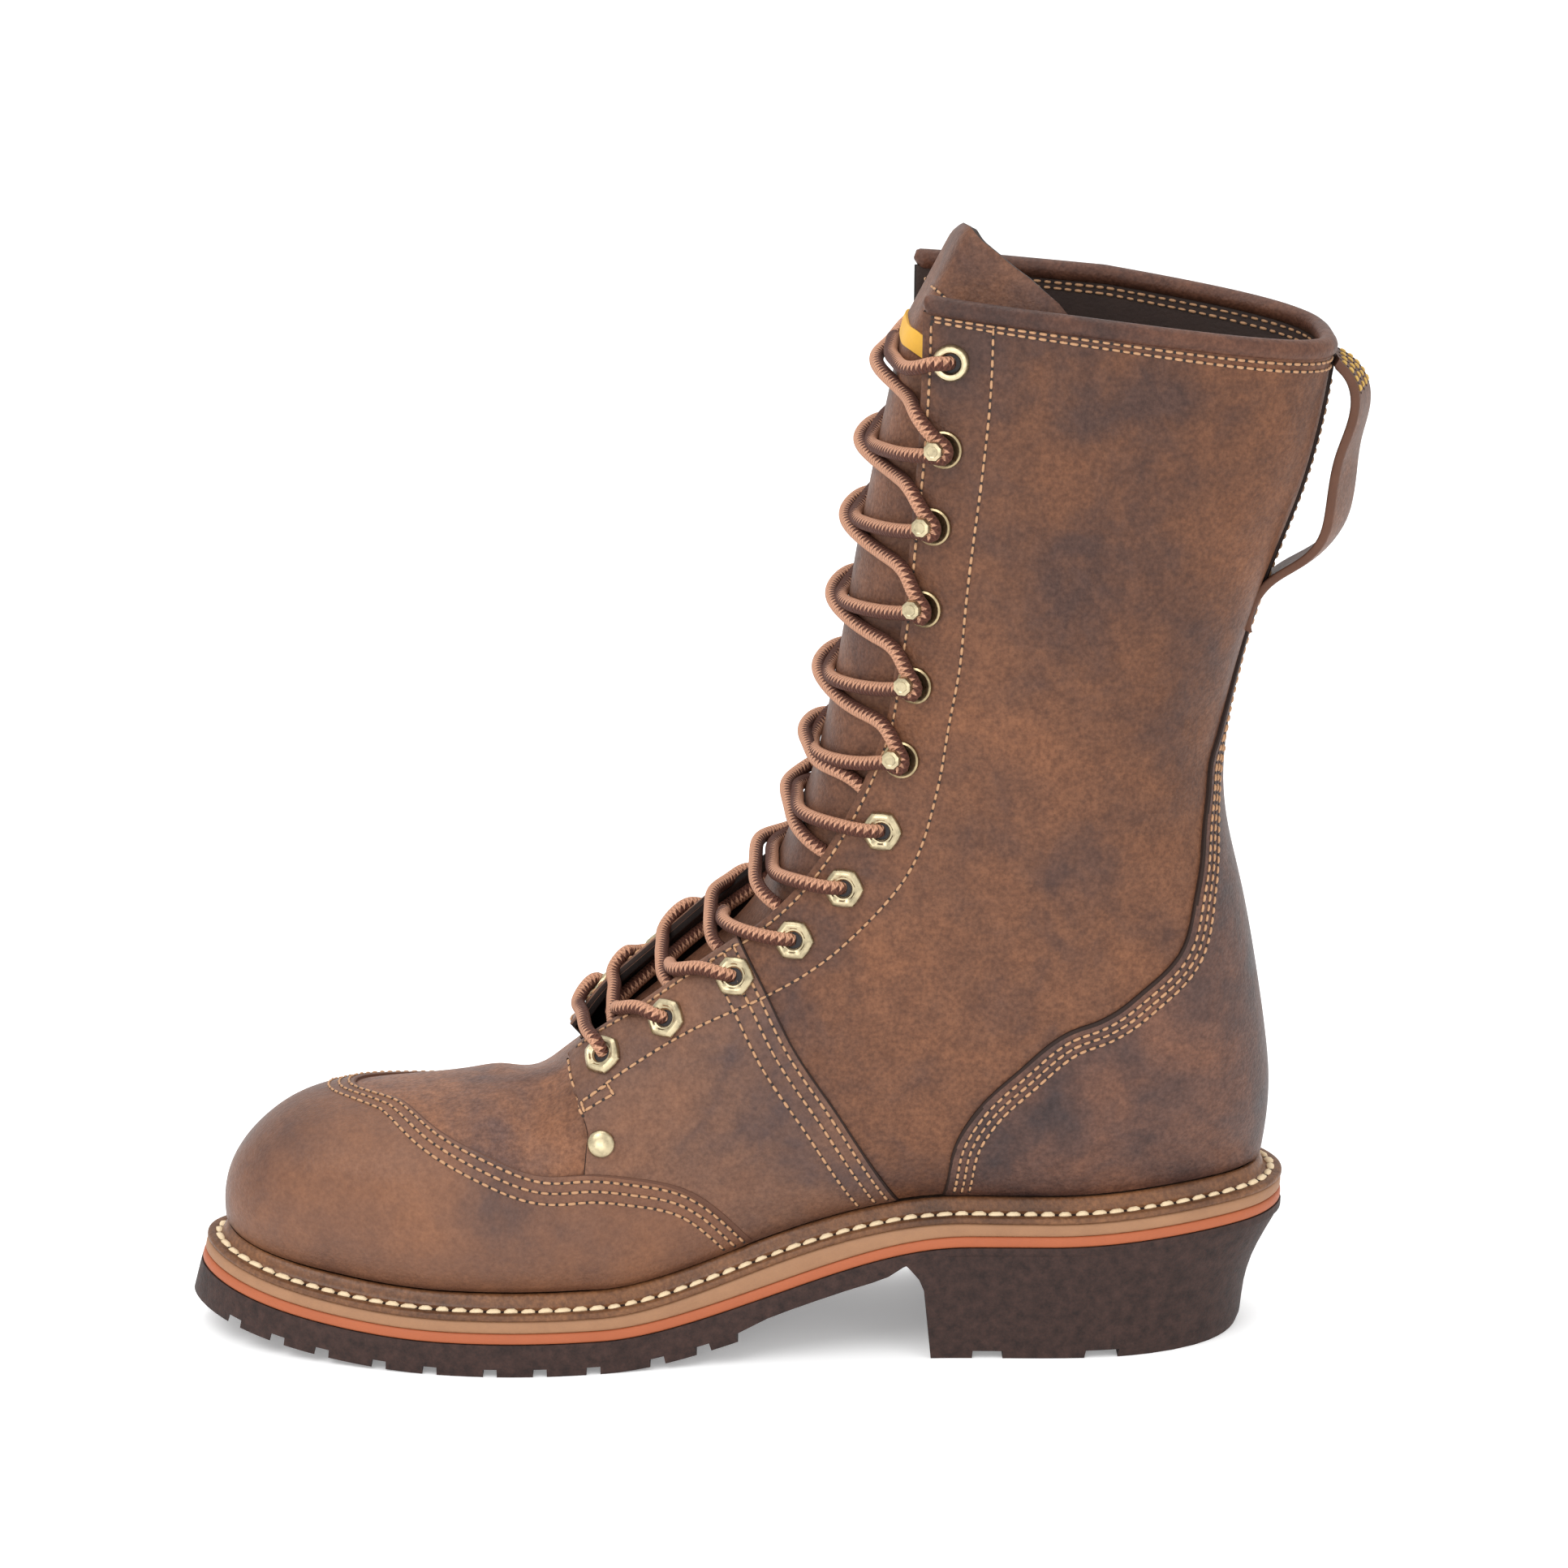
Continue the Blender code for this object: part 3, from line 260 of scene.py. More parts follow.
def half_rows(k, side):
    out = []
    for i, r in enumerate(ROWS):
        if i < len(FOOT):
            out.append(r[k] + float(feather_half(_sx[i], side)) - side * r[9])
        else:
            out.append(r[k] - side * r[9])
    out[0] = 0.0
    return spline(row_ids, out)


half_of = {1: half_rows(3, 1), -1: half_rows(4, -1)}


def section(t, side, count=44):
    """Half a section as points from its start up to the crest, and their arc."""
    t = float(t)
    yc = float(ridge(t))
    hw = max(float(half_of[side](t)), 1e-4)
    n_up, n_lo, wm = float(full_up(t)), float(full_low(t)), float(wide_at(t))
    if t <= CORNER:
        x = float(start_x(t))
        base = sole_pt(x, 0.0, bead_top(x))
        foot = max(float(feather_half(x, side)) - side * yc, 0.0)
        hw = max(hw, foot + 0.02)
    else:
        z = float(start_z(t))
        lift = BACK_FIX * max(0.0, 1 - (z - HEEL_Z) / 40.0)
        base = np.array([float(back_x(z)) + lift, 0.0, z])
        foot = 0.0
    top = np.array([float(crest_x(t)), 0.0, float(crest_z(t))])
    a0 = math.asin(min(foot / hw, 0.999) ** (n_lo / 2))
    a = np.linspace(a0, math.pi / 2, count)
    q, y1 = 1 - np.cos(a) ** (2 / n_lo), np.sin(a) ** (2 / n_lo)
    w1 = wm * (q - q[0]) / (1 - q[0])
    b = np.linspace(0, math.pi / 2, count)[1:]
    w2, y2 = wm + (1 - wm) * np.sin(b) ** (2 / n_up), np.cos(b) ** (2 / n_up)
    w, y = np.concatenate([w1, w2]), np.concatenate([y1, y2])
    y[-1] = 0.0
    p = base[None] * (1 - w[:, None]) + top[None] * w[:, None]
    p[:, 1] = yc * min(1.0, 1.0) + side * hw * y
    arc = np.concatenate([[0], np.cumsum(np.linalg.norm(np.diff(p, axis=0), axis=1))])
    g = min(float(half_gap(t)), 0.97 * hw) / hw
    up = count - 1
    face = np.interp(-g, -y[up:], arc[up:])
    return p, arc, face


# ------------------------------------------------------------- the last as a fine table
NT, NV = 1161, 601
TT, VV = np.linspace(0, LAST, NT), np.linspace(0, 1, NV)


def table_row(t):
    out = np.empty((NV, 3))
    w = VV[:NV // 2 + 1]
    for side in (1, -1):
        p, arc, face = section(t, side, 70)
        s = np.where(w <= FACE_V, w / FACE_V * face,
                     face + (w - FACE_V) / (0.5 - FACE_V) * (arc[-1] - face))
        q = np.stack([np.interp(s, arc, p[:, k]) for k in range(3)], 1)
        if side > 0:
            out[:NV // 2 + 1] = q
        else:
            out[NV // 2:] = q[::-1]
    return out


def blur(g, axis, sigma):
    """Gaussian along one axis that keeps the end values."""
    r = int(3 * sigma) + 1
    g = np.moveaxis(g, axis, 0)
    head = 2 * g[:1] - g[r:0:-1]
    tail = 2 * g[-1:] - g[-2:-r - 2:-1]
    p = np.concatenate([head, g, tail])
    k = np.exp(-0.5 * (np.arange(-r, r + 1) / sigma) ** 2)
    k /= k.sum()
    out = sum(k[i] * p[i:i + len(g)] for i in range(2 * r + 1))
    return np.moveaxis(out, 0, axis)


P = np.stack([table_row(t) for t in TT])
P = blur(blur(P, 1, 2.5), 0, 4.0)
SIDE_V = np.minimum(VV, 1 - VV)
near_corner = np.exp(-((TT[:, None] - CORNER) / 1.3) ** 2) * step((SIDE_V[None] - 0.004) / 0.03)
P = P + (blur(P, 0, 22.0) - P) * near_corner[..., None]


def normals(g):
    n = np.cross(np.gradient(g, axis=0), np.gradient(g, axis=1))
    n /= np.maximum(np.linalg.norm(n, axis=2), 1e-12)[..., None]
    tip = n[14] + n[14][::-1]
    tip /= np.maximum(np.linalg.norm(tip, axis=1), 1e-12)[:, None]
    for i in range(14):
        n[i] = tip + (n[14] - tip) * i / 14
    back = TT >= CORNER
    both = n[back, 0] / np.linalg.norm(n[back, 0], axis=1)[:, None] + \
        n[back, -1] / np.linalg.norm(n[back, -1], axis=1)[:, None]
    n[back, 0], n[back, -1] = both, both
    n /= np.maximum(np.linalg.norm(n, axis=2), 1e-12)[..., None]
    n = blur(blur(n, 0, 5.0), 1, 3.0)
    n[0] = n[0] + n[0][::-1]
    return n / np.maximum(np.linalg.norm(n, axis=2), 1e-12)[..., None]


N = normals(P)


def sample(g, t, v):
    t = np.clip(np.asarray(t, float), 0, LAST) / LAST * (NT - 1)
    v = np.clip(np.asarray(v, float), 0, 1) * (NV - 1)
    t, v = np.broadcast_arrays(t, v)
    i, j = np.minimum(t.astype(int), NT - 2), np.minimum(v.astype(int), NV - 2)
    a, b = t - i, v - j
    if g.ndim == 3:
        a, b = a[..., None], b[..., None]
    return (g[i, j] * (1 - a) + g[i + 1, j] * a) * (1 - b) + (g[i, j + 1] * (1 - a) + g[i + 1, j + 1] * a) * b


# Soft creases and hollows worked into the leather, listed one by one.
#          t     v     t     v    depth  width
CREASES = [(23.9, 0.055, 23.4, 0.15, 0.55, 4.5), (24.5, 0.06, 24.3, 0.12, 0.40, 3.5),
           (22.9, 0.09, 22.2, 0.20, 0.50, 6.0), (21.2, 0.155, 20.6, 0.25, 0.45, 7.0),
           (16.3, 0.24, 15.2, 0.20, 0.45, 6.0), (17.4, 0.27, 16.4, 0.31, 0.40, 7.0),
           (12.6, 0.20, 13.6, 0.24, 0.40, 7.0), (10.5, 0.30, 10.9, 0.42, 0.70, 6.0),
           (10.9, 0.56, 10.5, 0.70, 0.70, 6.0), (25.6, 0.20, 26.4, 0.31, 0.50, 12.0),
           (20.4, 0.30, 19.6, 0.36, 0.35, 8.0), (13.3, 0.10, 14.0, 0.13, 0.35, 6.0)]
relief = np.zeros((NT, NV))
for t0, v0, t1, v1, depth, width in CREASES:
    for mirror in (False, True):
        a, b = (v0, v1) if not mirror else (1 - v0 * 0.96, 1 - v1 * 1.03)
        ends_p = sample(P, [t0, t1], [a, b])
        axis = ends_p[1] - ends_p[0]
        span = axis @ axis
        k = np.clip(((P - ends_p[0]) @ axis) / span, 0, 1)
        d = np.linalg.norm(P - ends_p[0] - k[..., None] * axis, axis=2)
        fade = 0.35 + 0.65 * np.sin(math.pi * np.clip(k * 0.9 + 0.05, 0, 1))
        relief -= depth * fade * np.exp(-(d / width) ** 2)
        relief += 0.45 * depth * fade * np.exp(-((d - 1.9 * width) / (0.9 * width)) ** 2)
fold_v = np.array([0.0, 0.12, 0.21, 0.263, 0.328, 0.42])
fold_t = np.array([11.2, 11.3, 11.45, 11.67, 11.62, 11.64])
ahead = (np.interp(SIDE_V, fold_v, fold_t)[None] - TT[:, None]) * 13.0
fold = np.where(ahead > -1.0, np.exp(-np.maximum(ahead, 0) / 4.2), 0.0) * step((SIDE_V[None] - 0.235) / 0.025)
# Over the instep the plug runs on nearly level and dips under the facings.
mid = step((SIDE_V[None] - 0.27) / 0.10)
behind = np.where(SIDE_V[None] > FACE_V, np.exp(-(np.minimum(ahead, 0) / 3.0) ** 2), (ahead > -1.0) * 1.0)
sink = np.where(ahead > 0, np.exp(-(ahead / 8.0) ** 2), behind)
relief -= 2.3 * fold * (1 - mid) + 4.6 * sink * mid
P = P + N * relief[..., None]
N = normals(P)
P_IN, N_IN = P.copy(), N.copy()          # what the tongue and the lace lie on
# The outer facing's lip turns up a little low in the throat.
stand = step((TT - 11.75) / 0.9) * step((16.9 - TT) / 2.4)
flap = np.where(VV >= 1 - FACE_V - 1e-9, np.exp(-((VV - 1 + FACE_V) / 0.024) ** 2), 0.0)
P = P + N * (1.3 * stand[:, None] * flap[None])[..., None]
# The collar's edge runs a little higher, most on the outer side.
far_v = np.interp(VV, [0.0, 0.42, 0.58, 0.75, 1.0], [0.0, 0.0, 0.45, 1.0, 0.0])
P[..., 2] += step((TT[:, None] - 26.9) / 2.1) * (6.0 + 3.8 * far_v[None])
ARC = np.concatenate([np.zeros((NT, 1)), np.cumsum(np.linalg.norm(np.diff(P, axis=1), axis=2), axis=1)], 1)


def S(t, v, off=0.0):
    return sample(P, t, v) + sample(N, t, v) * np.asarray(off, float)[..., None]


def S_in(t, v, off=0.0):
    return sample(P_IN, t, v) + sample(N_IN, t, v) * np.asarray(off, float)[..., None]


def from_facing(t, dist, side):
    """Share of the girth dist millimetres below the facing edge."""
    out = []
    for tt, dd in zip(np.atleast_1d(t).astype(float), np.broadcast_to(dist, np.shape(np.atleast_1d(t)))):
        row = ARC[int(round(tt / LAST * (NT - 1)))]
        if side > 0:
            out.append(np.interp(np.interp(FACE_V, VV, row) - dd, row, VV))
        else:
            out.append(np.interp(np.interp(1 - FACE_V, VV, row) + dd, row, VV))
    return np.array(out)


def from_foot(t, v):
    """Millimetres along the section from its start to v."""
    a = sample(ARC, t, v)
    return np.minimum(a, sample(ARC, t, np.ones_like(np.asarray(v, float))) - a)


def shift_curve(t, v, dist):
    """A curve on the last moved sideways over the leather by dist (left of its run is +)."""
    t, v = np.array(t, float), np.array(v, float)
    steps = max(1, int(math.ceil(abs(dist) / 1.2)))
    for _ in range(steps):
        p, n = sample(P, t, v), sample(N, t, v)
        tan = np.gradient(p, axis=0)
        tan /= np.maximum(np.linalg.norm(tan, axis=1), 1e-9)[:, None]
        g = np.cross(n, tan) * (dist / steps)
        du = (sample(P, t + 0.02, v) - sample(P, t - 0.02, v)) / 0.04
        e = 0.002
        dv = (sample(P, t, v + e) - sample(P, t, v - e)) / (2 * e)
        a11, a12, a22 = (du * du).sum(1), (du * dv).sum(1), (dv * dv).sum(1)
        b1, b2 = (du * g).sum(1), (dv * g).sum(1)
        det = np.maximum(a11 * a22 - a12 * a12, 1e-6)
        t = np.clip(t + (a22 * b1 - a12 * b2) / det, 0.05, LAST)
        v = np.clip(v + (a11 * b2 - a12 * b1) / det, 0.0, 1.0)
    return t, v


def curve(points, count):
    """Smooth curve through (t, v) rows, even along the leather."""
    pts = np.array(points, float)
    p = S(pts[:, 0], pts[:, 1])
    s = np.concatenate([[0], np.cumsum(np.linalg.norm(np.diff(p, axis=0), axis=1) + 1e-6)])
    ft, fv = spline(s, pts[:, 0]), spline(s, pts[:, 1])
    q = np.linspace(0, s[-1], 1500)
    p = S(ft(q), fv(q))
    arc = np.concatenate([[0], np.cumsum(np.linalg.norm(np.diff(p, axis=0), axis=1))])
    w = np.interp(np.linspace(0, arc[-1], count), arc, q)
    return ft(w), fv(w)


# ------------------------------------------------------------- making objects
def build(name, verts, faces, mats, face_mat=None, uv=None, weld=False, sharp=50, shade=True):
    me = bpy.data.meshes.new(name)
    pts = (np.asarray(verts, float) + SHIFT) * MM
    me.from_pydata(pts.tolist(), [], [tuple(f) for f in faces])
    for m in mats:
        me.materials.append(m)
    if face_mat is not None:
        me.polygons.foreach_set("material_index", np.asarray(face_mat, np.int32))
    if uv is not None:
        layer = me.uv_layers.new(name="run")
        layer.data.foreach_set("uv", np.asarray(uv, np.float32).ravel())
    if weld:
        bm = bmesh.new()
        bm.from_mesh(me)
        bmesh.ops.remove_doubles(bm, verts=bm.verts, dist=2e-6)
        bmesh.ops.dissolve_degenerate(bm, edges=bm.edges, dist=1e-7)
        bmesh.ops.recalc_face_normals(bm, faces=bm.faces)
        if bm.calc_volume(signed=True) < 0:
            bmesh.ops.reverse_faces(bm, faces=bm.faces)
        bm.to_mesh(me)
        bm.free()
    me.validate()
    if shade:
        me.shade_smooth()
        me.set_sharp_from_angle(angle=math.radians(sharp))
    ob = bpy.data.objects.new(name, me)
    bpy.context.scene.collection.objects.link(ob)
    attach(ob, "root")
    return ob


def quads(nr, nc, base=0):
    i = np.arange(nr * nc).reshape(nr, nc) + base
    return np.stack([i[:-1, :-1], i[1:, :-1], i[1:, 1:], i[:-1, 1:]], -1).reshape(-1, 4)


def panel(name, t, v, out, inn, mats, dark=None, weld=True, keep=None):
    """A closed sheet of leather on the last.  t, v: 2-D grids; out, inn: heights of
    its two faces; mats: grain, flesh, cut edge; dark: cells of the grain face that
    show the cut edge; keep: cells that exist."""
    nr, nc = t.shape
    a, b = S(t, v, np.broadcast_to(out, t.shape)), S(t, v, np.broadcast_to(inn, t.shape))
    verts = np.concatenate([a.reshape(-1, 3), b.reshape(-1, 3)])
    top = quads(nr, nc)
    if keep is not None:
        top = top[keep.ravel()]
    low = (top + nr * nc)[:, ::-1]
    edge = np.concatenate([top[:, [0, 1]], top[:, [1, 2]], top[:, [2, 3]], top[:, [3, 0]]])
    code = edge[:, 0].astype(np.int64) * (nr * nc) + edge[:, 1]
    back = edge[:, 1].astype(np.int64) * (nr * nc) + edge[:, 0]
    free = edge[~np.isin(code, back)]
    rim = np.stack([free[:, 1], free[:, 0], free[:, 0] + nr * nc, free[:, 1] + nr * nc], 1)
    faces = np.concatenate([top, low, rim])
    kind = np.zeros(len(top), int)
    if dark is not None:
        d = dark.ravel()
        kind[d if keep is None else d[keep.ravel()]] = 2
    kind = np.concatenate([kind, np.ones(len(low), int), np.full(len(rim), 2)])
    return build(name, verts, faces.tolist(), mats, kind, weld=weld)


def frames(pts, toward=None):
    """Tangents and two cross directions; the first turns as little as it can, or
    keeps to one side of the run where toward is given."""
    pts = np.asarray(pts, float)
    tan = np.gradient(pts, axis=0)
    tan /= np.maximum(np.linalg.norm(tan, axis=1), 1e-9)[:, None]
    a = np.empty_like(pts)
    ref = np.array([0.0, 0.0, 1.0]) if abs(tan[0][2]) < 0.9 else np.array([1.0, 0.0, 0.0])
    u = np.cross(tan[0], ref)
    for i in range(len(pts)):
        u = u - tan[i] * (u @ tan[i])
        u /= np.linalg.norm(u)
        a[i] = u
    if toward is not None:
        a = np.cross(toward[None], tan)
        for _ in range(30):
            a[1:-1] = (a[:-2] + 2 * a[1:-1] + a[2:]) / 4
        a -= tan * (a * tan).sum(1)[:, None]
        a /= np.maximum(np.linalg.norm(a, axis=1), 1e-6)[:, None]
    return tan, a, np.cross(tan, a)


def tube_arrays(pts, radius, n, base=0, toward=None):
    """Verts, quads and uv of a round cord with rounded ends."""
    pts = np.asarray(pts, float)
    tan, a, b = frames(pts, toward)
    run = np.concatenate([[0], np.cumsum(np.linalg.norm(np.diff(pts, axis=0), axis=1))])
    r = np.full(len(pts), radius) if np.isscalar(radius) else np.asarray(radius, float)
    cap = radius if np.isscalar(radius) else float(np.max(radius))
    cap = 0.45 * cap
    near = np.minimum(run, run[-1] - run)
    r = r * np.sqrt(np.clip(1 - np.clip(1 - near / cap, 0, 1) ** 2, 0.02, 1))
    w = np.arange(n) * 2 * math.pi / n
    ring = pts[:, None] + r[:, None, None] * (np.cos(w)[None, :, None] * a[:, None] + np.sin(w)[None, :, None] * b[:, None])
    verts = ring.reshape(-1, 3)
    faces, uv = [], []
    for i in range(len(pts) - 1):
        for k in range(n):
            k2 = (k + 1) % n
            faces.append((base + i * n + k, base + i * n + k2, base + (i + 1) * n + k2, base + (i + 1) * n + k))
            uv += [(run[i], k / n), (run[i], (k + 1) / n), (run[i + 1], (k + 1) / n), (run[i + 1], k / n)]
    faces.append(tuple(base + k for k in range(n))[::-1])
    uv += [(run[0], k / n) for k in range(n)]
    faces.append(tuple(base + (len(pts) - 1) * n + k for k in range(n)))
    uv += [(run[-1], k / n) for k in range(n)]
    return verts, faces, uv


def even(pts, gap):
    """Points on a smooth curve through pts, about gap apart."""
    pts = np.asarray(pts, float)
    s = np.concatenate([[0], np.cumsum(np.linalg.norm(np.diff(pts, axis=0), axis=1))])
    f = [spline(s, pts[:, k]) for k in range(3)]
    q = np.linspace(0, s[-1], 1200)
    p = np.stack([g(q) for g in f], 1)
    arc = np.concatenate([[0], np.cumsum(np.linalg.norm(np.diff(p, axis=0), axis=1))])
    w = np.linspace(0, arc[-1], max(6, int(round(arc[-1] / gap)) + 1))
    return np.stack([np.interp(w, arc, p[:, k]) for k in range(3)], 1)


# ------------------------------------------------------------- stitches
def stitch_shape(length, width, height, around=6):
    rows_x = [(-1.0, 0.25), (-0.82, 0.72), (-0.4, 1.0), (0.4, 1.0), (0.82, 0.72), (1.0, 0.25)]
    verts, faces = [], []
    for x, r in rows_x:
        for k in range(around):
            w = 2 * math.pi * (k + 0.5) / around
            z = math.sin(w)
            verts.append((x * length / 2, math.cos(w) * width / 2 * r, (z * (0.75 if z > 0 else 0.5)) * height * r
                          - height * 0.35 * x * x))
    for i in range(len(rows_x) - 1):
        for k in range(around):
            k2 = (k + 1) % around
            faces.append((i * around + k, i * around + k2, (i + 1) * around + k2, (i + 1) * around + k))
    faces.append(tuple(range(around))[::-1])
    faces.append(tuple((len(rows_x) - 1) * around + k for k in range(around)))
    return np.array(verts), faces


HOLE = (np.array([(math.cos(k * math.pi / 3), math.sin(k * math.pi / 3), 0.0) for k in range(6)]
                 + [(0, 0, 0.25), (0, 0, -0.6)]),
        [(k, (k + 1) % 6, 6) for k in range(6)] + [((k + 1) % 6, k, 7) for k in range(6)])


def along(pts, nrm, pitch):
    """Places, run directions and normals every pitch along a line on the leather."""
    arc = np.concatenate([[0], np.cumsum(np.linalg.norm(np.diff(pts, axis=0), axis=1))])
    count = max(2, int(round(arc[-1] / pitch)))
    w = (np.arange(count) + 0.5) * arc[-1] / count
    f = lambda g, s: np.stack([np.interp(s, arc, g[:, k]) for k in range(3)], 1)
    c, n = f(pts, w), f(nrm, w)
    x = f(pts, w + 0.3) - f(pts, w - 0.3)
    x /= np.maximum(np.linalg.norm(x, axis=1), 1e-9)[:, None]
    n -= x * (n * x).sum(1)[:, None]
    n /= np.linalg.norm(n, axis=1)[:, None]
    h = np.arange(count + 1) * arc[-1] / count
    return (c, x, n), (f(pts, h), arc[-1] / count)


def stitch_mesh(name, lines, mats, pitch=3.0, length=2.5, width=1.0, height=0.75, hole=0.55, turn=0.0):
    """Every stitch and needle hole of some seams as one mesh."""
    tmpl, tf = stitch_shape(length, width, height)
    verts, faces, kind, base = [], [], [], 0
    rng = np.random.default_rng(7)
    for pts, nrm in lines:
        (c, x, n), (holes, gap) = along(pts, nrm, pitch)
        y = np.cross(n, x)
        if turn:
            x, y = x * math.cos(turn) + y * math.sin(turn), y * math.cos(turn) - x * math.sin(turn)
        k = 1 + 0.10 * rng.standard_normal((len(c), 3)).clip(-1.5, 1.5)
        loc = tmpl[None] * k[:, None]
        v = c[:, None] + loc[..., :1] * x[:, None] + loc[..., 1:2] * y[:, None] + loc[..., 2:] * n[:, None]
        verts.append(v.reshape(-1, 3))
        for i in range(len(c)):
            faces += [tuple(base + i * len(tmpl) + q for q in f) for f in tf]
        kind += [0] * (len(c) * len(tf))
        base += len(c) * len(tmpl)
        if hole > 0:
            hx = np.vstack([x, x[-1:]])
            hn = np.vstack([n, n[-1:]])
            hy = np.cross(hn, hx)
            m = HOLE[0] * np.array([hole, hole * 0.95, hole * 0.5])
            v = holes[:, None] + m[None, :, :1] * hx[:, None] + m[None, :, 1:2] * hy[:, None] + m[None, :, 2:] * hn[:, None]
            verts.append(v.reshape(-1, 3))
            for i in range(len(holes)):
                faces += [tuple(base + i * 8 + q for q in f) for f in HOLE[1]]
            kind += [1] * (len(holes) * 12)
            base += len(holes) * 8
    return build(name, np.concatenate(verts), faces, mats, kind, sharp=80)


def seam(t, v, off):
    return S(t, v, np.broadcast_to(off, np.shape(t))), sample(N, t, v)


# ------------------------------------------------------------- materials
def srgb(r, g, b):
    f = lambda c: c / 12.92 if c <= 0.04045 else ((c + 0.055) / 1.055) ** 2.4
    return (f(r / 255), f(g / 255), f(b / 255), 1.0)


class Nodes:
    """A material's nodes, made and wired by short calls."""

    def __init__(self, name):
        self.mat = bpy.data.materials.new(name)
        self.mat.use_nodes = True
        self.tree = self.mat.node_tree
        self.out = self.tree.nodes["Principled BSDF"]
        self.pos = self.new("ShaderNodeTexCoord").outputs["Object"]

    def new(self, kind, **props):
        n = self.tree.nodes.new(kind)
        for k, v in props.items():
            setattr(n, k, v)
        return n

    def put(self, socket, value):
        if hasattr(value, "is_linked"):
            self.tree.links.new(value, socket)
        else:
            socket.default_value = value

    def noise(self, scale, detail=3.0, rough=0.55, where=None, distort=0.0):
        n = self.new("ShaderNodeTexNoise")
        self.put(n.inputs["Vector"], where or self.pos)
        n.inputs["Scale"].default_value = scale
        n.inputs["Detail"].default_value = detail
        n.inputs["Roughness"].default_value = rough
        n.inputs["Distortion"].default_value = distort
        return n.outputs["Fac"]

    def cells(self, scale, feature="F1", where=None):
        n = self.new("ShaderNodeTexVoronoi", feature=feature)
        self.put(n.inputs["Vector"], where or self.pos)
        n.inputs["Scale"].default_value = scale
        return n.outputs["Distance"]

    def ramp(self, fac, stops):
        n = self.new("ShaderNodeValToRGB")
        e = n.color_ramp.elements
        while len(e) < len(stops):
            e.new(0.5)
        for one, (at, col) in zip(e, stops):
            one.position = at
            one.color = col if len(col) == 4 else (*col, 1.0)
        self.put(n.inputs["Fac"], fac)
        return n.outputs["Color"]

    def mix(self, fac, a, b, kind="MIX"):
        n = self.new("ShaderNodeMix", data_type="RGBA", blend_type=kind)
        self.put(n.inputs["Factor"], fac)
        self.put(n.inputs[6], a)
        self.put(n.inputs[7], b)
        return n.outputs[2]

    def math(self, op, a, b=0.0, c=0.0):
        n = self.new("ShaderNodeMath", operation=op)
        self.put(n.inputs[0], a)
        self.put(n.inputs[1], b)
        if op in ("MULTIPLY_ADD", "COMPARE", "WRAP"):
            self.put(n.inputs[2], c)
        return n.outputs[0]

    def span(self, value, a, b, lo, hi):
        n = self.new("ShaderNodeMapRange")
        self.put(n.inputs["Value"], value)
        for k, x in (("From Min", a), ("From Max", b), ("To Min", lo), ("To Max", hi)):
            n.inputs[k].default_value = x
        return n.outputs["Result"]

    def bump(self, height, strength, dist, under=None):
        n = self.new("ShaderNodeBump")
        self.put(n.inputs["Height"], height)
        n.inputs["Strength"].default_value = strength
        n.inputs["Distance"].default_value = dist
        if under is not None:
            self.put(n.inputs["Normal"], under)
        return n.outputs["Normal"]

    def done(self, color, rough, normal=None, metal=0.0, spec=0.5, coat=0.0, coat_rough=0.3):
        s = self.out.inputs
        self.put(s["Base Color"], color)
        self.put(s["Roughness"], rough)
        s["Metallic"].default_value = metal
        s["Specular IOR Level"].default_value = spec
        s["Coat Weight"].default_value = coat
        s["Coat Roughness"].default_value = coat_rough
        if normal is not None:
            self.put(s["Normal"], normal)
        return self.mat


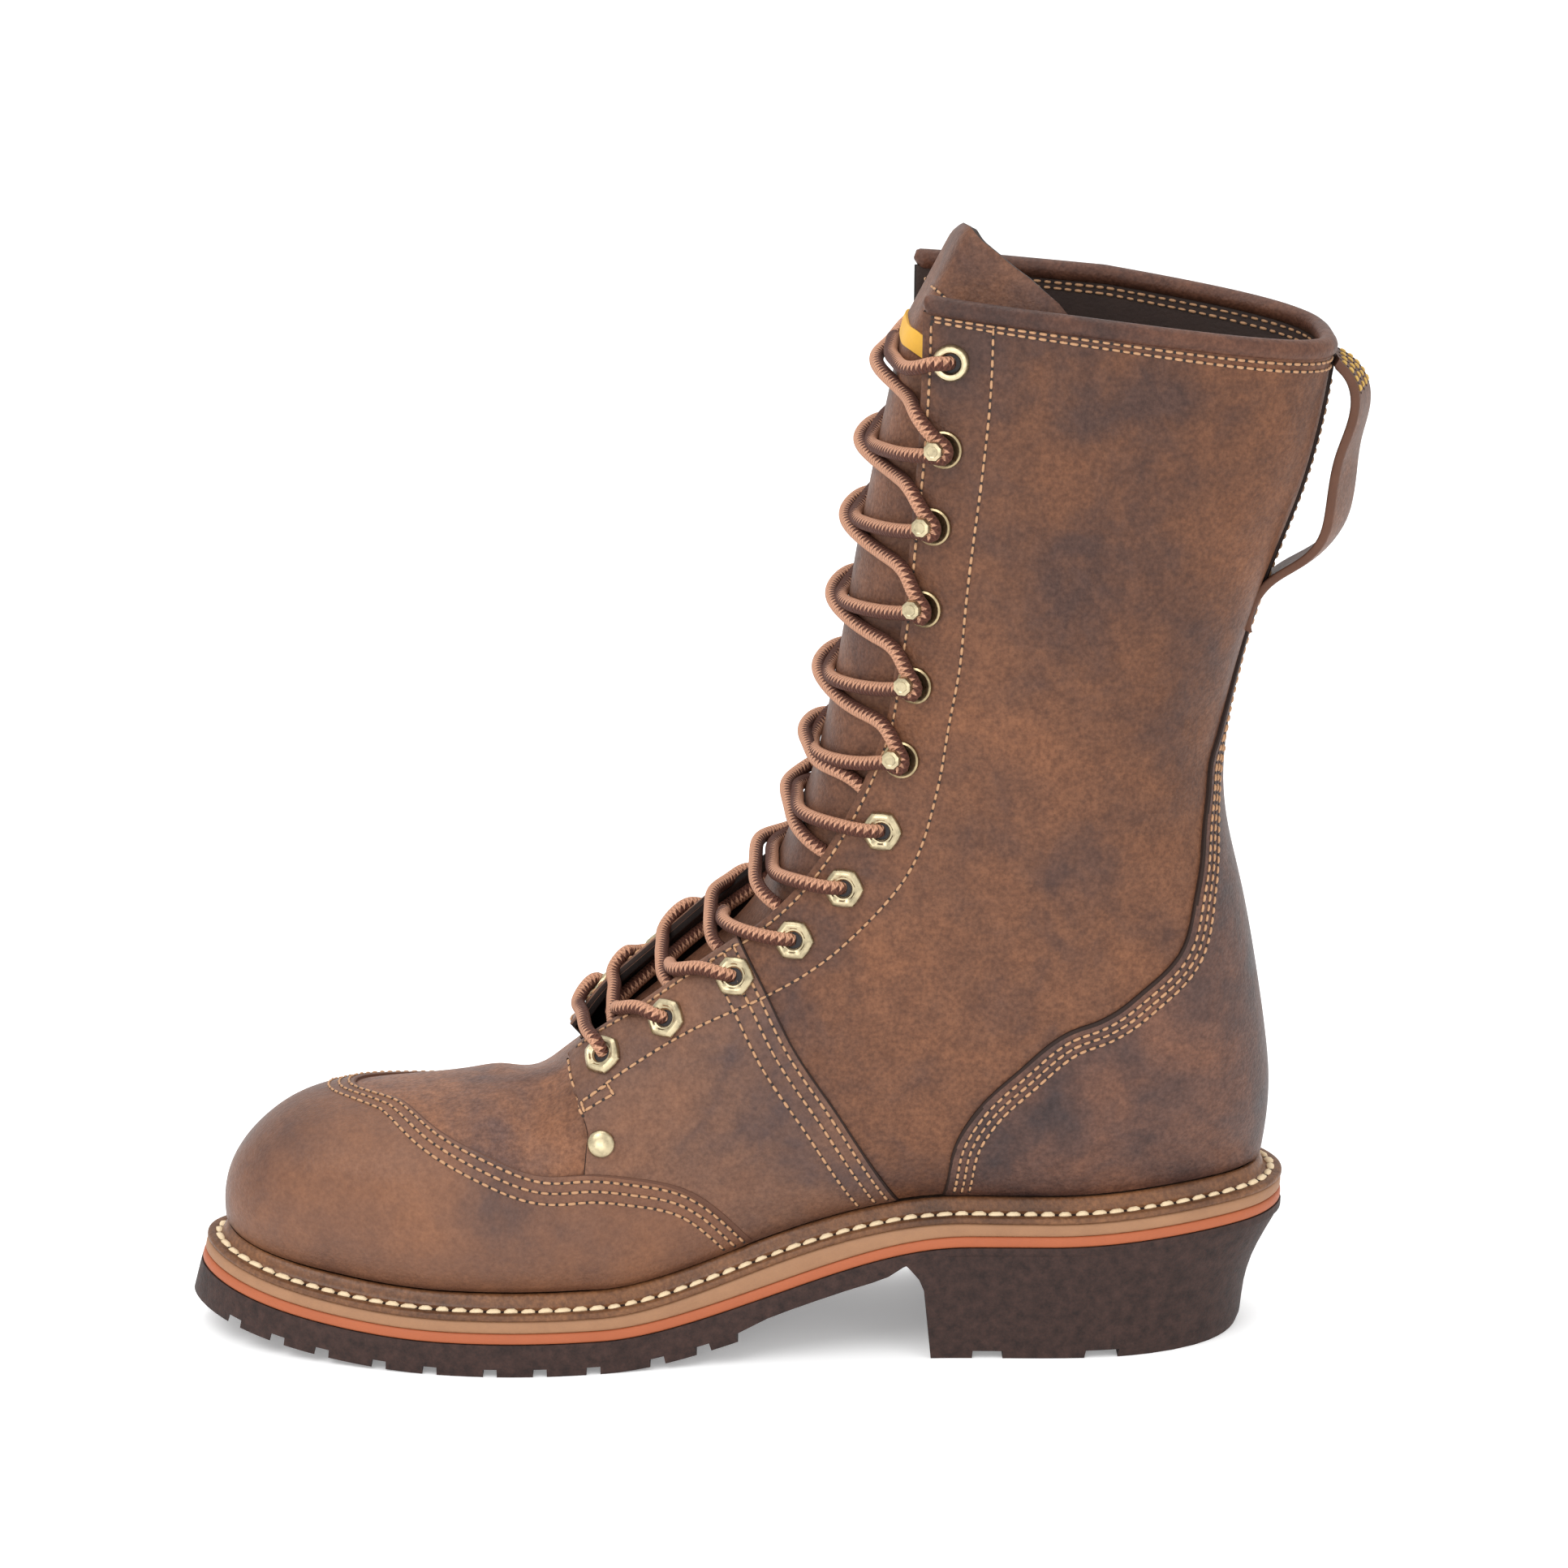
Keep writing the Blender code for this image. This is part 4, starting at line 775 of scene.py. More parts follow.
def leather(name, dark, mid, warm, rough=(0.42, 0.62), grain=1.0, spec=0.32, coat=0.02, cloudy=0.85, front=0.0, speck=1.0):
    """Oiled full-grain leather: clouded colour, rubbed streaks, fine pores and soft wrinkles."""
    n = Nodes(name)
    cloud = n.noise(17.0, 4.0, 0.55, distort=0.7)
    patch = n.noise(58.0, 6.0, 0.62, distort=0.3)
    rub = n.noise(190.0, 5.0, 0.62)
    fine = n.noise(760.0, 4.0, 0.62)
    worn = n.math("ADD", n.math("MULTIPLY", cloud, 0.62), n.math("MULTIPLY", patch, 0.38))
    worn = n.span(worn, 0.5 - 0.15 / cloudy, 0.5 + 0.15 / cloudy, 0.0, 1.0)
    col = n.mix(1.0, n.ramp(worn, [(0.08, dark), (0.45, mid), (0.92, warm)]), (1.12, 1.12, 1.12, 1.0), "MULTIPLY")
    col = n.mix(n.span(rub, 0.36, 0.66, 0.0, 0.60 * speck), col, n.mix(1.0, col, (0.60, 0.57, 0.59, 1.0), "MULTIPLY"))
    col = n.mix(n.span(fine, 0.34, 0.68, 0.0, 0.75 * speck), col, n.mix(1.0, col, (0.50, 0.46, 0.46, 1.0), "MULTIPLY"))
    # Painted light: with front, the leather is made lighter toward the toe, where the front of the boot catches the
    # light; higher up the shaft it is made darker and a little warmer.
    if front:
        sep = n.new("ShaderNodeSeparateXYZ")
        n.put(sep.inputs[0], n.pos)
        col = n.mix(n.span(sep.outputs[0], 0.03, 0.075, 0.0, front), col, n.mix(1.0, col, (1.48, 1.55, 1.60, 1.0), "MULTIPLY"))
        col = n.mix(n.span(sep.outputs[2], 0.10, 0.26, 0.0, front), col, n.mix(1.0, col, (0.83, 0.81, 0.79, 1.0), "MULTIPLY"))
    pore = n.cells(1150.0)
    wrinkle = n.noise(260.0, 5.0, 0.65, distort=0.6)
    nrm = n.bump(wrinkle, 0.26 * grain, 0.0010)
    nrm = n.bump(n.noise(1500.0, 3.0, 0.6), 0.24 * grain, 0.0004, nrm)
    nrm = n.bump(pore, 0.28 * grain, 0.00035, nrm)
    r = n.span(n.math("ADD", n.math("MULTIPLY", patch, 0.6), n.math("MULTIPLY", fine, 0.4)), 0.3, 0.7, rough[0], rough[1])
    return n.done(col, r, nrm, spec=spec, coat=coat, coat_rough=0.35)


def plain(name, a, b, scale, rough, bump_scale, bump_dist, strength=0.35, fine=None, metal=0.0, spec=0.4, bite=0.0):
    """Even stuff with a clouded colour and a fine tooth."""
    n = Nodes(name)
    cloud = n.noise(scale, 5.0, 0.6)
    speck = n.noise(fine or scale * 7.0, 3.0, 0.6)
    fac = n.math("ADD", n.math("MULTIPLY", cloud, 0.65), n.math("MULTIPLY", speck, 0.35))
    col = n.mix(n.span(fac, 0.5 - bite, 0.5 + bite, 0.0, 1.0) if bite else fac, a, b)
    nrm = n.bump(n.noise(bump_scale, 4.0, 0.6), strength, bump_dist)
    r = n.span(speck, 0.3, 0.7, rough - 0.08, rough + 0.08)
    return n.done(col, r, nrm, metal=metal, spec=spec)


# oiled_leather is given front=1.0: painted light, lighter toward the toe and darker higher up the shaft.
LEATHER = leather("oiled_leather", srgb(80, 55, 46), srgb(107, 70, 49), srgb(126, 82, 55), cloudy=0.9, spec=0.26, front=1.0)
VAMP = leather("vamp_leather", srgb(78, 58, 53), srgb(105, 74, 58), srgb(122, 84, 62), rough=(0.42, 0.60), spec=0.28, cloudy=0.95, speck=0.75)
CAP = leather("toe_leather", srgb(84, 60, 51), srgb(107, 73, 55), srgb(121, 81, 57), rough=(0.40, 0.56), spec=0.28, coat=0.03, cloudy=0.85, speck=0.55)
COUNTER = leather("counter_leather", srgb(61, 46, 44), srgb(89, 62, 52), srgb(114, 76, 57), rough=(0.40, 0.58), spec=0.28, cloudy=1.0)
ROLL = leather("binding_leather", srgb(66, 44, 37), srgb(90, 58, 44), srgb(106, 69, 50), rough=(0.42, 0.58), spec=0.26)
TONGUE = leather("tongue_leather_grain", srgb(80, 54, 45), srgb(104, 69, 50), srgb(122, 80, 56), rough=(0.44, 0.62), spec=0.26)
EDGE = plain("cut_edge", srgb(30, 21, 18), srgb(52, 36, 30), 160.0, 0.62, 900.0, 0.0004, spec=0.18)
# The upper's cut edge: a dark edge colour, made darker still as painted shade so the facing edges in the throat read as
# shadowed.
FACING_EDGE_SHADED = plain("facing_edge_with_painted_shade", srgb(15, 11, 10), srgb(31, 22, 19), 160.0, 0.70, 900.0, 0.0004, spec=0.10)
EDGE_SOFT = plain("brown_edge", srgb(78, 53, 43), srgb(104, 71, 55), 160.0, 0.64, 900.0, 0.0004, spec=0.18)
# Painted shade: near-black discs set in the eyelet holes stand in for the dark inside of each hole.
HOLE_SHADE = plain("eyelet_hole_painted_shade", srgb(20, 16, 17), srgb(36, 29, 29), 120.0, 0.6, 1200.0, 0.0003)
LINING = plain("lining_leather", srgb(32, 23, 21), srgb(64, 46, 39), 70.0, 0.66, 1100.0, 0.0004)
WELT_M = leather("welt_strip", srgb(84, 55, 36), srgb(108, 72, 46), srgb(128, 88, 57), grain=0.8)
BEAD_M = leather("welt_bead", srgb(86, 57, 38), srgb(116, 77, 49), srgb(138, 94, 60), rough=(0.34, 0.48), grain=0.7, coat=0.12)
TAN_M = plain("tan_layer", srgb(126, 89, 63), srgb(166, 123, 89), 90.0, 0.62, 700.0, 0.0004, fine=900.0)
ORANGE_M = plain("orange_layer", srgb(144, 73, 42), srgb(174, 95, 57), 60.0, 0.58, 900.0, 0.0003, fine=1400.0)
RUBBER_M = plain("brown_rubber", srgb(36, 25, 23), srgb(64, 45, 40), 320.0, 0.62, 1000.0, 0.0006, fine=1300.0, spec=0.22, bite=0.14)
BOARD_M = plain("footbed", srgb(72, 52, 40), srgb(108, 80, 60), 60.0, 0.75, 800.0, 0.0005)
THREAD = plain("gold_thread", srgb(152, 112, 80), srgb(196, 152, 113), 300.0, 0.62, 2600.0, 0.0003, 0.5)
CREAM = plain("cream_thread", srgb(208, 180, 140), srgb(244, 224, 190), 240.0, 0.66, 2200.0, 0.0004, 0.5)
YELLOW = plain("strap_thread", srgb(176, 138, 66), srgb(214, 176, 96), 300.0, 0.62, 2600.0, 0.0003, 0.5)
NEEDLE = plain("needle_hole", srgb(26, 18, 16), srgb(44, 30, 25), 400.0, 0.7, 900.0, 0.0002)
PATCH = plain("plain_patch", srgb(190, 140, 40), srgb(222, 172, 66), 90.0, 0.7, 1900.0, 0.0003)


def brass(name, tint):
    n = Nodes(name)
    wear = n.noise(260.0, 5.0, 0.6)
    fine = n.noise(1500.0, 3.0, 0.6)
    col = n.ramp(wear, [(0.30, srgb(*[c * 0.80 for c in tint])), (0.5, srgb(*tint)), (0.72, srgb(*[min(255, c * 1.08) for c in tint]))])
    nrm = n.bump(fine, 0.12, 0.0003)
    return n.done(col, n.span(fine, 0.3, 0.7, 0.26, 0.42), nrm, metal=1.0)


BRASS = brass("antique_brass_worn", (186, 172, 140))
BRASS_DK = brass("antique_brass_dark", (168, 150, 116))


def lace_material():
    """Round braid: a light and a dark half that meet in a saw-tooth line."""
    n = Nodes("two_tone_braid")
    uv = n.new("ShaderNodeUVMap", uv_map="run").outputs["UV"]
    sep = n.new("ShaderNodeSeparateXYZ")
    n.put(sep.inputs[0], uv)
    u, v = sep.outputs[0], sep.outputs[1]
    saw = n.math("FRACT", n.math("MULTIPLY", u, 1 / 1.7))
    lean = n.math("MULTIPLY", n.math("SUBTRACT", saw, 0.5), 0.16)
    w = n.math("FRACT", n.math("ADD", v, lean))
    tone = n.ramp(w, [(0.0, srgb(196, 143, 114)), (0.46, srgb(202, 150, 120)), (0.50, srgb(90, 51, 38)),
                      (0.95, srgb(84, 48, 36)), (1.0, srgb(192, 140, 111))])
    rib = n.math("SINE", n.math("MULTIPLY", n.math("ADD", u, n.math("MULTIPLY", v, 4.6)), 2 * math.pi / 1.15))
    rib2 = n.math("SINE", n.math("MULTIPLY", n.math("SUBTRACT", u, n.math("MULTIPLY", v, 4.6)), 2 * math.pi / 1.15))
    weave = n.math("MAXIMUM", rib, rib2)
    # Painted shade: the pits between the braid's crossing ribs are made darker.
    col = n.mix(n.span(weave, -0.6, 0.9, 0.45, 0.0), tone, n.mix(1.0, tone, (0.42, 0.38, 0.36, 1.0), "MULTIPLY"))
    col = n.mix(n.span(n.noise(900.0), 0.3, 0.7, 0.0, 0.3), col, n.mix(1.0, col, (0.7, 0.66, 0.64, 1.0), "MULTIPLY"))
    nrm = n.bump(weave, 0.7, 0.0005)
    return n.done(col, n.span(n.noise(700.0), 0.3, 0.7, 0.62, 0.8), nrm, spec=0.3)


LACE_M = lace_material()

# ------------------------------------------------------------- panel lines
#               t       v      (inner side; the outer side mirrors it)
CAP_LINE = [(13.10, 0.0), (12.75, 0.125), (12.15, 0.175), (11.45, 0.208), (10.75, 0.221), (10.03, 0.253),
            (9.53, 0.285), (9.0, 0.331), (8.28, 0.429), (7.76, 0.49), (7.46, 0.54), (7.36, 0.60),
            (7.62, 0.66), (8.2, 0.705), (8.9, 0.738), (9.6, 0.758), (10.3, 0.774), (11.0, 0.788), (11.6, 0.803),
            (12.2, 0.83), (12.75, 0.878), (13.10, 1.0)]
WING_FRONT = [(11.2, 0.0), (11.3, 0.12), (11.45, 0.210), (11.67, 0.263), (11.62, 0.328), (11.64, 0.42)]
WING_BACK = [(14.50, 0.0), (14.57, 0.071), (14.70, 0.18), (14.82, 0.278), (15.0, 0.344), (15.18, 0.42)]
COUNTER_LINE = [(14.9, 0.0), (15.52, 0.093), (16.10, 0.136), (17.0, 0.167), (18.22, 0.190), (19.0, 0.187),
                (19.72, 0.174), (20.4, 0.152), (21.02, 0.131), (21.92, 0.111), (23.17, 0.077),
                (24.17, 0.053), (25.12, 0.026), (25.7, 0.0215), (29.0, 0.0215)]
WING_H, COUNTER_H = 1.4, 1.3
front_t = lambda v: np.interp(np.minimum(v, 1 - v), [p[1] for p in WING_FRONT], [p[0] for p in WING_FRONT])
back_t = lambda v: np.interp(np.minimum(v, 1 - v), [p[1] for p in WING_BACK], [p[0] for p in WING_BACK])


def cap_h(t, v):
    return 1.25 + 0.95 * step((t - front_t(v) + 0.30) / 0.40)


def tuck(t, v, high, reach=4.0):
    """Height of an overlay, less where it goes down behind the bead."""
    return high * (0.45 + 0.55 * step(from_foot(t, v) / reach))


# Upper: vamp, quarters and facings as one wall with the throat cut out.
t_lines = np.unique(np.round(np.concatenate([np.linspace(0, 1, 12), np.linspace(1, THROAT, 84),
                                             np.linspace(THROAT, LAST, 150)]), 5))
v_side = np.unique(np.round(np.concatenate([np.linspace(0, FACE_V, 50), FACE_V - np.array([0.001, 0.0025, 0.0045, 0.008])]), 5))
v_lines = np.unique(np.round(np.concatenate([v_side, np.linspace(FACE_V, 1 - FACE_V, 21), 1 - v_side]), 5))
T, V = np.meshgrid(t_lines, v_lines, indexing="ij")
mt, mv = (t_lines[:-1] + t_lines[1:]) / 2, (v_lines[:-1] + v_lines[1:]) / 2
keep = ~((mt[:, None] > THROAT) & (mv[None] > FACE_V) & (mv[None] < 1 - FACE_V))
lip = np.abs(np.minimum(V, 1 - V) - FACE_V) / 0.0035
round_off = np.where((T >= THROAT - 1e-6), 0.55 * np.clip(1 - lip / 1.2, 0, 1) ** 2, 0.0)
upper = panel("upper_wall", T, V, -round_off, -WALL + round_off * 0.5, [LEATHER, LINING, FACING_EDGE_SHADED], keep=keep)
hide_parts("upper")

# Wings over the vamp: from the throat down to the welt on both sides.
for side in (1, -1):
    fr, bk = np.array(WING_FRONT), np.array(WING_BACK)
    s = np.unique(np.round(np.concatenate([np.linspace(0, 1, 60), 1 - np.array([0.002, 0.006, 0.012, 0.02])]), 5))
    ft, fv = curve(fr, 400)
    bt, bv = curve(bk, 400)
    vs = s * FACE_V
    f_t, b_t = np.interp(vs, fv, ft), np.interp(vs, bv, bt)
    gap = np.linalg.norm(S(b_t, vs) - S(f_t, vs), axis=1)
    r = np.unique(np.round(np.concatenate([np.linspace(0.04, 0.95, 40), 1 - np.array([0, .4, .9, 1.6, 2.6]) / 62.0,
                                           np.array([0, .4, .9, 1.6, 2.6]) / 62.0]), 5))
    T = f_t[None] + (b_t - f_t)[None] * r[:, None]
    V = np.broadcast_to(vs[None], T.shape).copy()
    if side < 0:
        T, V = T[:, ::-1], 1 - V[:, ::-1]
    d_edge = np.minimum(r, 1 - r)[:, None] * 62.0
    d_face = (FACE_V - np.minimum(V, 1 - V)) / 0.0035
    high = tuck(T, V, WING_H) - 0.45 * np.clip(1 - d_edge / 1.3, 0, 1) ** 2 - 0.5 * np.clip(1 - d_face / 1.2, 0, 1) ** 2
    rm = (r[:-1] + r[1:]) / 2
    # dark: the wing's cut edges; along the front edge the dark strip is also painted shade where the wing steps down
    # onto the vamp.
    dark = np.broadcast_to((((1 - rm) * 62.0 < 0.45) | (rm * 62.0 < 0.45))[:, None], (len(r) - 1, len(s) - 1))
    panel("vamp_wing_%s" % ("inner" if side > 0 else "outer"), T, V, high, -0.4,
                       [VAMP, LINING, EDGE], dark=dark)

# Toe cap.
ct, cv = curve(CAP_LINE, 700)
cv_s = np.unique(np.round(np.concatenate([np.linspace(0, 1, 190)]), 5))
edge_t = np.interp(cv_s, np.maximum.accumulate(cv), ct)
cap_len = 70.0
r = np.unique(np.round(np.concatenate([np.linspace(0, 0.96, 76), 1 - np.array([0, .35, .8, 1.5, 2.5]) / cap_len]), 5))
T, V = edge_t[None] * r[:, None], np.broadcast_to(cv_s[None], (len(r), len(cv_s))).copy()
d_edge = (1 - r)[:, None] * cap_len
high = tuck(T, V, 1.0, 3.0) * cap_h(T, V) - 0.5 * np.clip(1 - d_edge / 1.4, 0, 1) ** 2
dark = np.broadcast_to(((1 - (r[:-1] + r[1:]) / 2) * cap_len < 0.5)[:, None], (len(r) - 1, len(cv_s) - 1))
toe = panel("toe_cap_leather", T, V, high, -0.5, [CAP, LINING, EDGE_SOFT], dark=dark)
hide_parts("toe_cap")

# Counter with its back strip.
kt, kv = curve(COUNTER_LINE, 600)
k_t = np.unique(np.round(np.concatenate([np.linspace(14.9, 28.95, 190), np.linspace(14.9, 15.6, 12)]), 5))
k_v = np.interp(k_t, np.maximum.accumulate(kt), kv)
r = np.unique(np.round(np.concatenate([np.linspace(0, 0.9, 26), np.linspace(0.9, 1, 9)]), 5))
for side in (1, -1):
    T = np.broadcast_to(k_t[None], (len(r), len(k_t))).T.copy()
    V = k_v[:, None] * r[None]
    reach = from_foot(T, V)
    full = from_foot(k_t, k_v)[:, None]
    d_edge = full - reach
    high = np.where(T < CORNER, tuck(T, V, COUNTER_H), COUNTER_H) - 0.45 * np.clip(1 - d_edge / 1.4, 0, 1) ** 2
    dark = (d_edge[:-1, 1:] + d_edge[1:, :-1]) / 2 < 0.8
    if side < 0:
        T, V, high, dark = T[:, ::-1], 1 - V[:, ::-1], high[:, ::-1], dark[:, ::-1]
    panel("heel_counter_%s" % ("inner" if side > 0 else "outer"), T, V, high, -0.4,
                         [COUNTER, LINING, EDGE], dark=dark)
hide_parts("heel_counter")

# Rolled binding on the collar.
bv = np.concatenate([np.linspace(FACE_V, 0, 130), np.linspace(1, 1 - FACE_V, 130)[1:]])
rim_n = sample(N, np.full(len(bv), LAST), bv)
rim_n[:, 2] = 0
rim_n /= np.linalg.norm(rim_n, axis=1)[:, None]
lean_up = np.array([math.sin(math.radians(7.5)), 0.0, math.cos(math.radians(7.5))])
line = S(np.full(len(bv), LAST), bv) - rim_n * WALL / 2 + lean_up * 1.9
run = np.concatenate([[0], np.cumsum(np.linalg.norm(np.diff(line, axis=0), axis=1))])
ring = []
for k in range(18):
    w = 2 * math.pi * k / 18
    end = np.clip(np.minimum(run, run[-1] - run) / 2.4, 0, 1)
    squeeze = np.sqrt(np.clip(1 - (1 - end) ** 2, 0.03, 1))[:, None]
    ring.append(line + squeeze * (rim_n * math.cos(w) * 2.75 + lean_up * math.sin(w) * 2.95))
ring = np.stack(ring, 1)
n_r = len(line)
faces = [(i * 18 + k, i * 18 + (k + 1) % 18, (i + 1) * 18 + (k + 1) % 18, (i + 1) * 18 + k) for i in range(n_r - 1) for k in range(18)]
faces += [tuple(range(18))[::-1], tuple((n_r - 1) * 18 + k for k in range(18))]
roll = build("collar_roll", ring.reshape(-1, 3), faces, [ROLL], weld=True)
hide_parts("collar_binding")


# ------------------------------------------------------------- tongue
def tongue_low(t):
    """How much the tongue sinks low in the throat."""
    t = np.asarray(t, float)
    return step((t - 11.4) / 0.8) * step((16.8 - t) / 2.4)


def tongue_in(t):
    return -(WALL + 1.3) - 7.0 * tongue_low(t) - 11.0 * np.maximum(0.0, (np.asarray(t, float) - 22.0) / 7.0) ** 1.8


tg_t = np.concatenate([np.linspace(10.7, 28.2, 90)])
tg_u = np.linspace(-1, 1, 61)
half_v = np.interp(tg_t, [10.7, 12.5, 20.0, 25.0, 28.2], [0.10, 0.13, 0.14, 0.17, 0.235])
T = np.broadcast_to(tg_t[:, None], (len(tg_t), len(tg_u)))
V = 0.5 - tg_u[None] * half_v[:, None]
hug = np.clip((np.abs(tg_u)[None] - 0.35) / 0.45, 0, 1)
top_off = tongue_in(tg_t)[:, None] * (1 - step(hug)) - (WALL + 1.9 + 3.6 * tongue_low(tg_t)[:, None]) * step(hug)
front = S_in(T, V, top_off)
TLEAN = np.array([-13.0, 0.0, 25.5]) / math.hypot(13.0, 25.5)
rise = np.interp(tg_u, [-1.0, -0.7, -0.45, -0.25, -0.1, 0.0, 0.12, 0.25, 0.4, 0.55, 0.7, 0.85, 1.0],
                 [4.0, 8.0, 14.0, 22.0, 30.0, 33.0, 34.0, 33.0, 31.0, 28.0, 23.0, 15.5, 6.0])
rows_up = []
for s in np.linspace(0, 1, 20)[1:]:
    more = front[-1] + TLEAN * (rise * s)[:, None]
    more[:, 1] = more[:, 1] * (1 - 0.10 * s)
    rows_up.append(more)
front = np.concatenate([front, np.stack(rows_up)])
face_n = np.cross(np.gradient(front, axis=0), np.gradient(front, axis=1))
face_n /= np.linalg.norm(face_n, axis=2)[..., None]
face_n = blur(blur(face_n, 0, 2.0), 1, 2.0)
face_n /= np.linalg.norm(face_n, axis=2)[..., None]
if face_n[30, 30] @ sample(N, tg_t[30], 0.5) < 0:
    face_n = -face_n
nr, nc = front.shape[:2]
row_f = np.linspace(0, 1, nr)[:, None]
edge_d = np.minimum(1 - np.abs(tg_u)[None], (1 - row_f) * 6.0)
plump = 0.9 * np.clip(edge_d / 0.12, 0, 1) ** 0.5 * (1 + 0 * row_f)
a, b = front + face_n * (plump[..., None] - 0.9), front - face_n * 3.4
verts = np.concatenate([a.reshape(-1, 3), b.reshape(-1, 3)])
top = quads(nr, nc)[:, ::-1]
low = (top + nr * nc)[:, ::-1]
edge = np.concatenate([top[:, [0, 1]], top[:, [1, 2]], top[:, [2, 3]], top[:, [3, 0]]])
code = edge[:, 0].astype(np.int64) * (nr * nc) + edge[:, 1]
back = edge[:, 1].astype(np.int64) * (nr * nc) + edge[:, 0]
free = edge[~np.isin(code, back)]
rim = np.stack([free[:, 1], free[:, 0], free[:, 0] + nr * nc, free[:, 1] + nr * nc], 1)
kind = [0] * len(top) + [1] * len(low) + [2] * len(rim)
tongue = build("tongue_leather", verts, np.concatenate([top, low, rim]).tolist(), [TONGUE, LINING, EDGE], kind, weld=True)
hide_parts("tongue")
TONGUE_FACE, TONGUE_N = a, face_n

# Plain patch on the tongue.
rr, cc = np.arange(nr - 22, nr - 18), np.arange(21, 40)
pf = TONGUE_FACE[rr][:, cc] + TONGUE_N[rr][:, cc] * 0.7
pb = TONGUE_FACE[rr][:, cc] - TONGUE_N[rr][:, cc] * 0.4
q = quads(len(rr), len(cc))[:, ::-1]
m = len(rr) * len(cc)
edge = np.concatenate([q[:, [0, 1]], q[:, [1, 2]], q[:, [2, 3]], q[:, [3, 0]]])
code = edge[:, 0].astype(np.int64) * m + edge[:, 1]
free = edge[~np.isin(code, edge[:, 1].astype(np.int64) * m + edge[:, 0])]
faces = np.concatenate([q, (q + m)[:, ::-1], np.stack([free[:, 1], free[:, 0], free[:, 0] + m, free[:, 1] + m], 1)])
patch = build("tongue_patch", np.concatenate([pf.reshape(-1, 3), pb.reshape(-1, 3)]), faces.tolist(), [PATCH], weld=True)

# ------------------------------------------------------------- pull loop
LOOP = [(-143.6, 214.0), (-146.6, 221.5), (-151.4, 227.5), (-157.6, 231.6), (-163.4, 235.6), (-167.6, 241.2),
        (-169.4, 248.5), (-170.2, 256.5), (-171.4, 265.0), (-173.6, 273.0), (-174.2, 280.5), (-171.0, 287.5), (-165.8, 291.5)]
strap = even([(x, 0.0, z) for x, z in LOOP], 1.6)
tan = np.gradient(strap, axis=0)
tan /= np.linalg.norm(tan, axis=1)[:, None]
out_n = np.cross(tan, np.array([0.0, 1.0, 0.0]))
if out_n[len(out_n) // 2][0] > 0:
    out_n = -out_n
prof = []
for side_y, hh in ((1, 1), (-1, -1)):
    ys = np.array([1.0, 0.985, 0.95, 0.86, 0.7, 0.5, 0.25, 0.0, -0.25, -0.5, -0.7, -0.86, -0.95, -0.985, -1.0]) * side_y
    for y in ys:
        prof.append((y, hh * (1.3 - 0.55 * max(0.0, (abs(y) - 0.94) / 0.06) ** 2)))
m = len(prof)
verts = []
TWIST = 4.3 * np.sin(np.pi * np.linspace(0, 1, len(strap))) ** 0.5
for i, p in enumerate(strap):
    wide = 11.0 + 0.5 * math.sin(i * 0.35)
    bow = 0.8 * math.sin(math.pi * i / (len(strap) - 1))
    for y, h in prof:
        verts.append(p + np.array([y * TWIST[i], y * wide, 0.0]) + out_n[i] * (h + bow * (1 - y * y)))
faces, kind = [], []
for i in range(len(strap) - 1):
    for k in range(m):
        k2 = (k + 1) % m
        faces.append((i * m + k, i * m + k2, (i + 1) * m + k2, (i + 1) * m + k))
        edge_y = (abs(prof[k][0]) + abs(prof[k2][0])) / 2
        kind.append(1 if edge_y > 0.96 else 0)
faces += [tuple(range(m))[::-1], tuple((len(strap) - 1) * m + k for k in range(m))]
kind += [1, 1]
loop = build("pull_strap", verts, faces, [LEATHER, EDGE_SOFT], kind, weld=True)
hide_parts("pull_loop")
strap_lines = []
last_mm = len(strap) - 9
for y in (-0.75, -0.25, 0.25, 0.75):
    pts = np.array([p + np.array([y * TWIST[i], y * 11.0, 0]) + out_n[i] * (1.45 + 0.8 * math.sin(math.pi * i / (len(strap) - 1)) * (1 - y * y))
                    for i, p in enumerate(strap)])
    strap_lines.append((pts[last_mm:-1], out_n[last_mm:-1]))

# ------------------------------------------------------------- welt and sole layers
ring_id = np.arange(0, len(RIM), 4)
out_xy, in_xy = RIM[ring_id], FEATHER[ring_id]


def ring_piece(name, rows, mats, kinds):
    """A closed band round the boot; rows give (millimetres inwards from the rim, height(x))."""
    verts = []
    for o, i in zip(out_xy, in_xy):
        d = (i - o) / np.linalg.norm(i - o)
        for dist, h in rows:
            dd = dist(np.linalg.norm(i - o)) if callable(dist) else dist
            x, y = o + d * dd
            verts.append(sole_pt(x, y, h(x)))
    m, n = len(rows), len(out_xy)
    faces, kind = [], []
    for i in range(n):
        for k in range(m):
            a, b = i * m + k, i * m + (k + 1) % m
            c, d = ((i + 1) % n) * m + (k + 1) % m, ((i + 1) % n) * m + k
            faces.append((a, b, c, d))
            kind.append(kinds[k])
    return build(name, verts, faces, mats, kind, weld=True, sharp=55)


H = lambda up: (lambda x: mid_top(x) + GAP + up)
w_rows = [(0.35, H(0.0)), (0.05, H(0.25)), (0.0, H(0.9)), (0.15, H(1.45)), (0.6, H(1.75)), (1.8, H(1.82)),
          (2.6, H(1.72)), (3.4, H(1.25)), (4.2, H(1.72)), (lambda w: 0.60 * w, H(1.8)), (lambda w: 0.66 * w, H(2.1)),
          (lambda w: 0.70 * w, H(3.0)), (lambda w: 0.755 * w, H(4.2)), (lambda w: 0.83 * w, H(5.15)),
          (lambda w: 0.92 * w, H(5.5)), (lambda w: 1.02 * w, H(5.1)), (lambda w: 1.10 * w, H(4.2)), (lambda w: 1.12 * w, H(0.0))]
w_kind = [0] * 9 + [1] * 8 + [0]
welt = ring_piece("welt_band", w_rows, [WELT_M, BEAD_M], w_kind)
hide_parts("welt")
A = lambda h: (lambda x: h)
